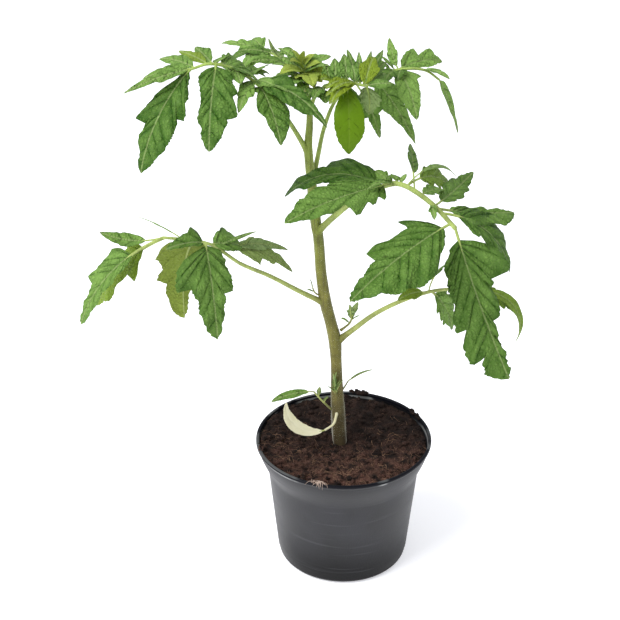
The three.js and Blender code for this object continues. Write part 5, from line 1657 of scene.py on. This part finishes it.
# %% [markdown]
# ## The colour of each leaflet
#
# No two leaflets of a plant have the same green. Those that light falls through glow yellow-green, and the
# young ones at the top are lighter. Chance alone could decide this, but the eye goes to the largest leaflets
# first, so they have values of their own here, by name, and chance gives the others their tone.

# %% How each leaflet's colour differs
# How much these leaflets glow, from 0 to 1. The others don't glow at all.
GLOWING = {
    "leaf_low_left_leaflet_3": 0.75, "leaf_low_left_leaflet_7": 0.6, "leaf_low_left_leaflet_2": 0.3,
    "leaf_low_right_leaflet_1": 0.6, "leaf_low_right_leaflet_4": 0.4, "leaf_low_right_leaflet_5": 0.5,
    "leaf_mid_right_leaflet_5": 0.35, "leaf_top_left_leaflet_6": 0.6, "leaf_top_front_leaflet_0": 0.9,
    "leaf_top_front_leaflet_1": 0.9, "leaf_top_front_leaflet_7": 0.8, "leaf_top_front_leaflet_9": 0.9,
    "leaf_top_front_leaflet_13": 0.8, "leaf_top_front_leaflet_14": 0.9,
    "leaf_top_front_leaflet_17": 0.7, "leaf_top_front_leaflet_22": 0.8,
}
# Where these leaflets lie between the leaf's darkest green at 0 and its lightest at 1. The others get a
# tone of their own by chance, from 0.5 to 1.
TONES = {
    "leaf_mid_right_leaflet_2": 0.9, "leaf_mid_right_leaflet_3": 0.8, "leaf_mid_right_leaflet_5": 0.8,
    "leaf_low_left_leaflet_0": 0.55, "leaf_low_left_leaflet_2": 0.9, "leaf_low_left_leaflet_4": 0.5,
    "leaf_low_left_leaflet_8": 0.7, "basal_shoot_left_leaflet_0": 0.8, "leaf_mid_right_leaflet_0": 0.65,
    "leaf_mid_right_leaflet_1": 0.35, "leaf_mid_right_leaflet_9": 0.42, "leaf_mid_right_leaflet_10": 0.47,
    "leaf_mid_right_leaflet_11": 0.5,
    "leaf_top_left_leaflet_0": 0.5, "leaf_top_left_leaflet_1": 0.4, "leaf_top_left_leaflet_3": 0.42,
    "leaf_top_left_leaflet_7": 0.35,
}
TONES.update({f"shoot_tip_leaflet_{k}": 0.85 for k in range(21)})
TONES.update({f"leaf_top_front_leaflet_{k}": 0.7 for k in range(5, 28)})
print("leaflets that glow:", len(GLOWING), "and leaflets with a chosen tone:", len(TONES))

# %% [markdown]
# A leaflet's own stalk runs on under the blade as its midrib and thins out towards the tip. It is a tube
# that sinks into the underside where the blade starts. Stalk and blade are one piece with three materials:
# the upper face, the underside and the skin of the stalk.

# %% One leaflet
# A stalk has no veins near it, so its distances to them are large, in millimetres.
NO_BLADE = {"rib_mm": 9.0, "vein_mm": 9.0, "bulge": 0.0}
THICKEST_RIB = 0.95
RIB_TAPER = 0.88
RIB_SUNK = 0.75
RIB_SIDES = 8


def leaflet(name, line, form, seed, materials, slot):
    """One leaflet as a piece."""
    at, tip, width, bare_length, bend, roll, shape, fold = form
    length, rib = midrib(along(line, at), tip, bend, roll)
    bare = bare_length / length
    thick = min(THICKEST_RIB, 0.35 + width * 0.022)
    points, faces, face_material, numbers = blade(
        rib, bare, OUTLINES[shape], width, fold, seed, thick, length * (1 - bare), shape == "smooth"
    )
    shares = np.concatenate([np.linspace(0, bare, 5), np.linspace(bare, 0.96, 18)[1:]])
    centre, _, _, up = rib(shares)
    under = np.clip((shares - bare) / 0.06, 0, 1)
    radii = thick * (1 - RIB_TAPER * np.clip((shares - bare) / (1 - bare), 0, 1) ** 0.7)
    rib_line = centre - up * (under * (radii * RIB_SUNK))[:, None]
    stalk_points, stalk_faces = tube(rib_line, radii, RIB_SIDES, len(points))
    count = len(stalk_points)
    numbers = {key: np.concatenate([numbers[key], np.full(count, value)]) for key, value in NO_BLADE.items()}
    total = len(points) + count
    made = make_piece(
        name,
        np.vstack([points, stalk_points]),
        faces + stalk_faces,
        [*materials, stalk_skin],
        slot,
        face_material=face_material + [2] * len(stalk_faces),
        numbers={
            **numbers,
            "tone": np.full(total, TONES.get(name, 0.5 + 0.5 * scatter(seed, 11))),
            "glow": np.full(total, GLOWING.get(name, 0.0)),
        },
    )
    crease_rim(made.data)
    return made


def crease_rim(mesh):
    """Marks the edges where the upper face meets the underside as sharp, so that neither shades the other."""
    edge_of = np.empty(len(mesh.loops), dtype=np.int32)
    mesh.loops.foreach_get("edge_index", edge_of)
    size = np.empty(len(mesh.polygons), dtype=np.int32)
    mesh.polygons.foreach_get("loop_total", size)
    side = np.empty(len(mesh.polygons), dtype=np.int32)
    mesh.polygons.foreach_get("material_index", side)
    least = np.full(len(mesh.edges), 9)
    most = np.full(len(mesh.edges), -1)
    np.minimum.at(least, edge_of, np.repeat(side, size))
    np.maximum.at(most, edge_of, np.repeat(side, size))
    mesh.edges.foreach_set("use_edge_sharp", (least == 0) & (most == 1))


# %% [markdown]
# The stalk of a whole leaf starts inside the stem and swells where it leaves it, so that the two grow into
# each other without a step. A number on its points, which fades with the way from the stem, says how much
# of the stem's colour it takes there. Its hairs are shorter than the stem's.

# %% One whole leaf: stalk, leaflets and hairs
LEAF_SLOTS = {"shoot_tip": "young_leaf", "seed_leaf": "withered_leaf"}
STALK_SIDES = 12
STALK_RINGS = 8
ROOT_SWELL = 0.3
ROOT_LENGTH = 2.4
STALK_RIDGES = 0.12
STEM_COLOUR_FADE = 14
STALK_HAIRS = 0.6


def leaf(index, form):
    """All the pieces of one leaf. The stalk stands for the leaf's part of the frame."""
    name, line = form["name"], form["line"]
    slot = LEAF_SLOTS.get(name, "leaf")
    materials = MATERIALS.get(name, [leaf_upper, leaf_under])
    places = np.linspace(0, len(line) - 1, STALK_RINGS * (len(line) - 1) + 1)
    centre = np.array([along(line, place) for place in places])
    gone = np.concatenate([[0], np.cumsum(np.linalg.norm(np.diff(centre, axis=0), axis=1))])
    root, end = form["radius"]
    radii = root + (end - root) * np.sqrt(gone / gone[-1])
    radii = radii * (1 + ROOT_SWELL * np.exp(-((gone / (ROOT_LENGTH * root)) ** 2)))
    points, faces = tube(centre, radii, STALK_SIDES)
    points = ridged(points, centre, STALK_SIDES, STALK_RIDGES * root)
    skin = withered if name == "seed_leaf" else stalk_skin
    total = len(points)
    plain = {**NO_BLADE, "tone": 0.5, "glow": 0.0}
    numbers = {key: np.full(total, value) for key, value in plain.items()}
    near = np.exp(-((gone / STEM_COLOUR_FADE) ** 2))
    numbers["near_stem"] = np.concatenate([np.repeat(near, STALK_SIDES), near[[0, -1]]])
    made = [make_piece(name + "_stalk", points, faces, [skin], "stem", name, numbers=numbers)]
    for k, each in enumerate([*form["leaflets"], *MORE_LEAFLETS.get(name, [])]):
        piece_name = f"{name}_leaflet_{k}"
        faces_of = MATERIALS.get(piece_name, materials)
        made.append(leaflet(piece_name, line, each, index * 10 + k, faces_of, slot))
    skins = [skin_of(points, centre, radii, STALK_SIDES)]
    fuzz = hairs(skins, density=STALK_HAIRS, length=0.35 + 0.22 * root, seed=40 + index)
    made.append(make_piece(name + "_hairs", *fuzz, [hair_white], "stem"))
    return made


leaf_pieces = [made for index, form in enumerate(LEAVES) for made in leaf(index, form)]
print("leaf pieces:", len(leaf_pieces), "with", sum(len(p.data.polygons) for p in leaf_pieces), "faces")

# %% [markdown]
# ## Floor, light and camera
#
# The plant stands on a plain white floor under soft light, as in a studio. A white world lights it from all
# round, and a broad lamp high on the left gives the leaves their shine and throws a faint shadow to the
# right. The floor gives off a little light too, so that it stays white. More lamps would do that as well,
# but they would flatten the leaves. The camera stands in front of the pot, above the leaves, and looks down
# by 28 degrees. It stands a good metre off with a long lens, so near and far parts of the plant differ
# little in scale.

# %% The floor
FLOOR_HALF = 6
floor_white, tree, shader = new_material("floor_white", Roughness=0.9, **{"Specular_IOR_Level": 0.1})
shader.inputs["Emission Color"].default_value = srgb(250, 250, 255)
shader.inputs["Emission Strength"].default_value = 0.47
marks = place_group(tree, mottling, Broad=3.0, Fine=40.0)
white = mix_colours(tree, marks["Patches"], srgb(246, 246, 248), srgb(249, 249, 250))
feed(tree, shader.inputs["Base Color"], white)
floor_mesh = bpy.data.meshes.new("floor")
floor_corners = [(x * FLOOR_HALF, y * FLOOR_HALF, 0) for x, y in ((-1, -1), (1, -1), (1, 1), (-1, 1))]
floor_mesh.from_pydata(floor_corners, [], [(0, 1, 2, 3)])
floor_mesh.materials.append(floor_white)
floor = bpy.data.objects.new("floor", floor_mesh)
bpy.context.scene.collection.objects.link(floor)
print("floor:", floor.name, "and its material:", floor_white.name)

# %% The light
world = bpy.data.worlds.new("studio")
world.use_nodes = True
world.node_tree.nodes["Background"].inputs["Color"].default_value = srgb(250, 252, 255)
world.node_tree.nodes["Background"].inputs["Strength"].default_value = 0.7
bpy.context.scene.world = world


def add_lamp(name, spot, target, size, power):
    """A square white area lamp at spot that shines at target, both in metres."""
    lamp = bpy.data.lights.new(name, "AREA")
    lamp.shape = "SQUARE"
    lamp.size = size
    lamp.energy = power
    made = bpy.data.objects.new(name, lamp)
    made.location = spot
    aim = np.subtract(target, spot)
    tilt = math.acos(-aim[2] / np.linalg.norm(aim))
    made.rotation_euler = (tilt, 0, math.atan2(aim[1], aim[0]) - math.pi / 2)
    bpy.context.scene.collection.objects.link(made)


add_lamp("key", spot=(-1.2, -0.7, 1.8), target=(0, 0, 0.2), size=1.4, power=44)
scene = bpy.context.scene
scene.view_settings.view_transform = "Standard"
scene.view_settings.look = "None"

# %% The camera
LOOK_DOWN = 28.4
camera_data = bpy.data.cameras.new("camera")
camera_data.lens = 85.94
camera_data.sensor_width = 36
camera_data.clip_start = 0.01
camera = bpy.data.objects.new("camera", camera_data)
camera.location = (-0.0249, -0.9238, 0.7064)
camera.rotation_euler = (math.radians(90 - LOOK_DOWN), 0, 0)
scene.collection.objects.link(camera)
scene.camera = camera
print("camera at", [round(v, 3) for v in camera.location], "looks down by", LOOK_DOWN, "degrees")

# %% [markdown]
# ## Finish

# %% Bring the scene up to date
bpy.context.view_layer.update()
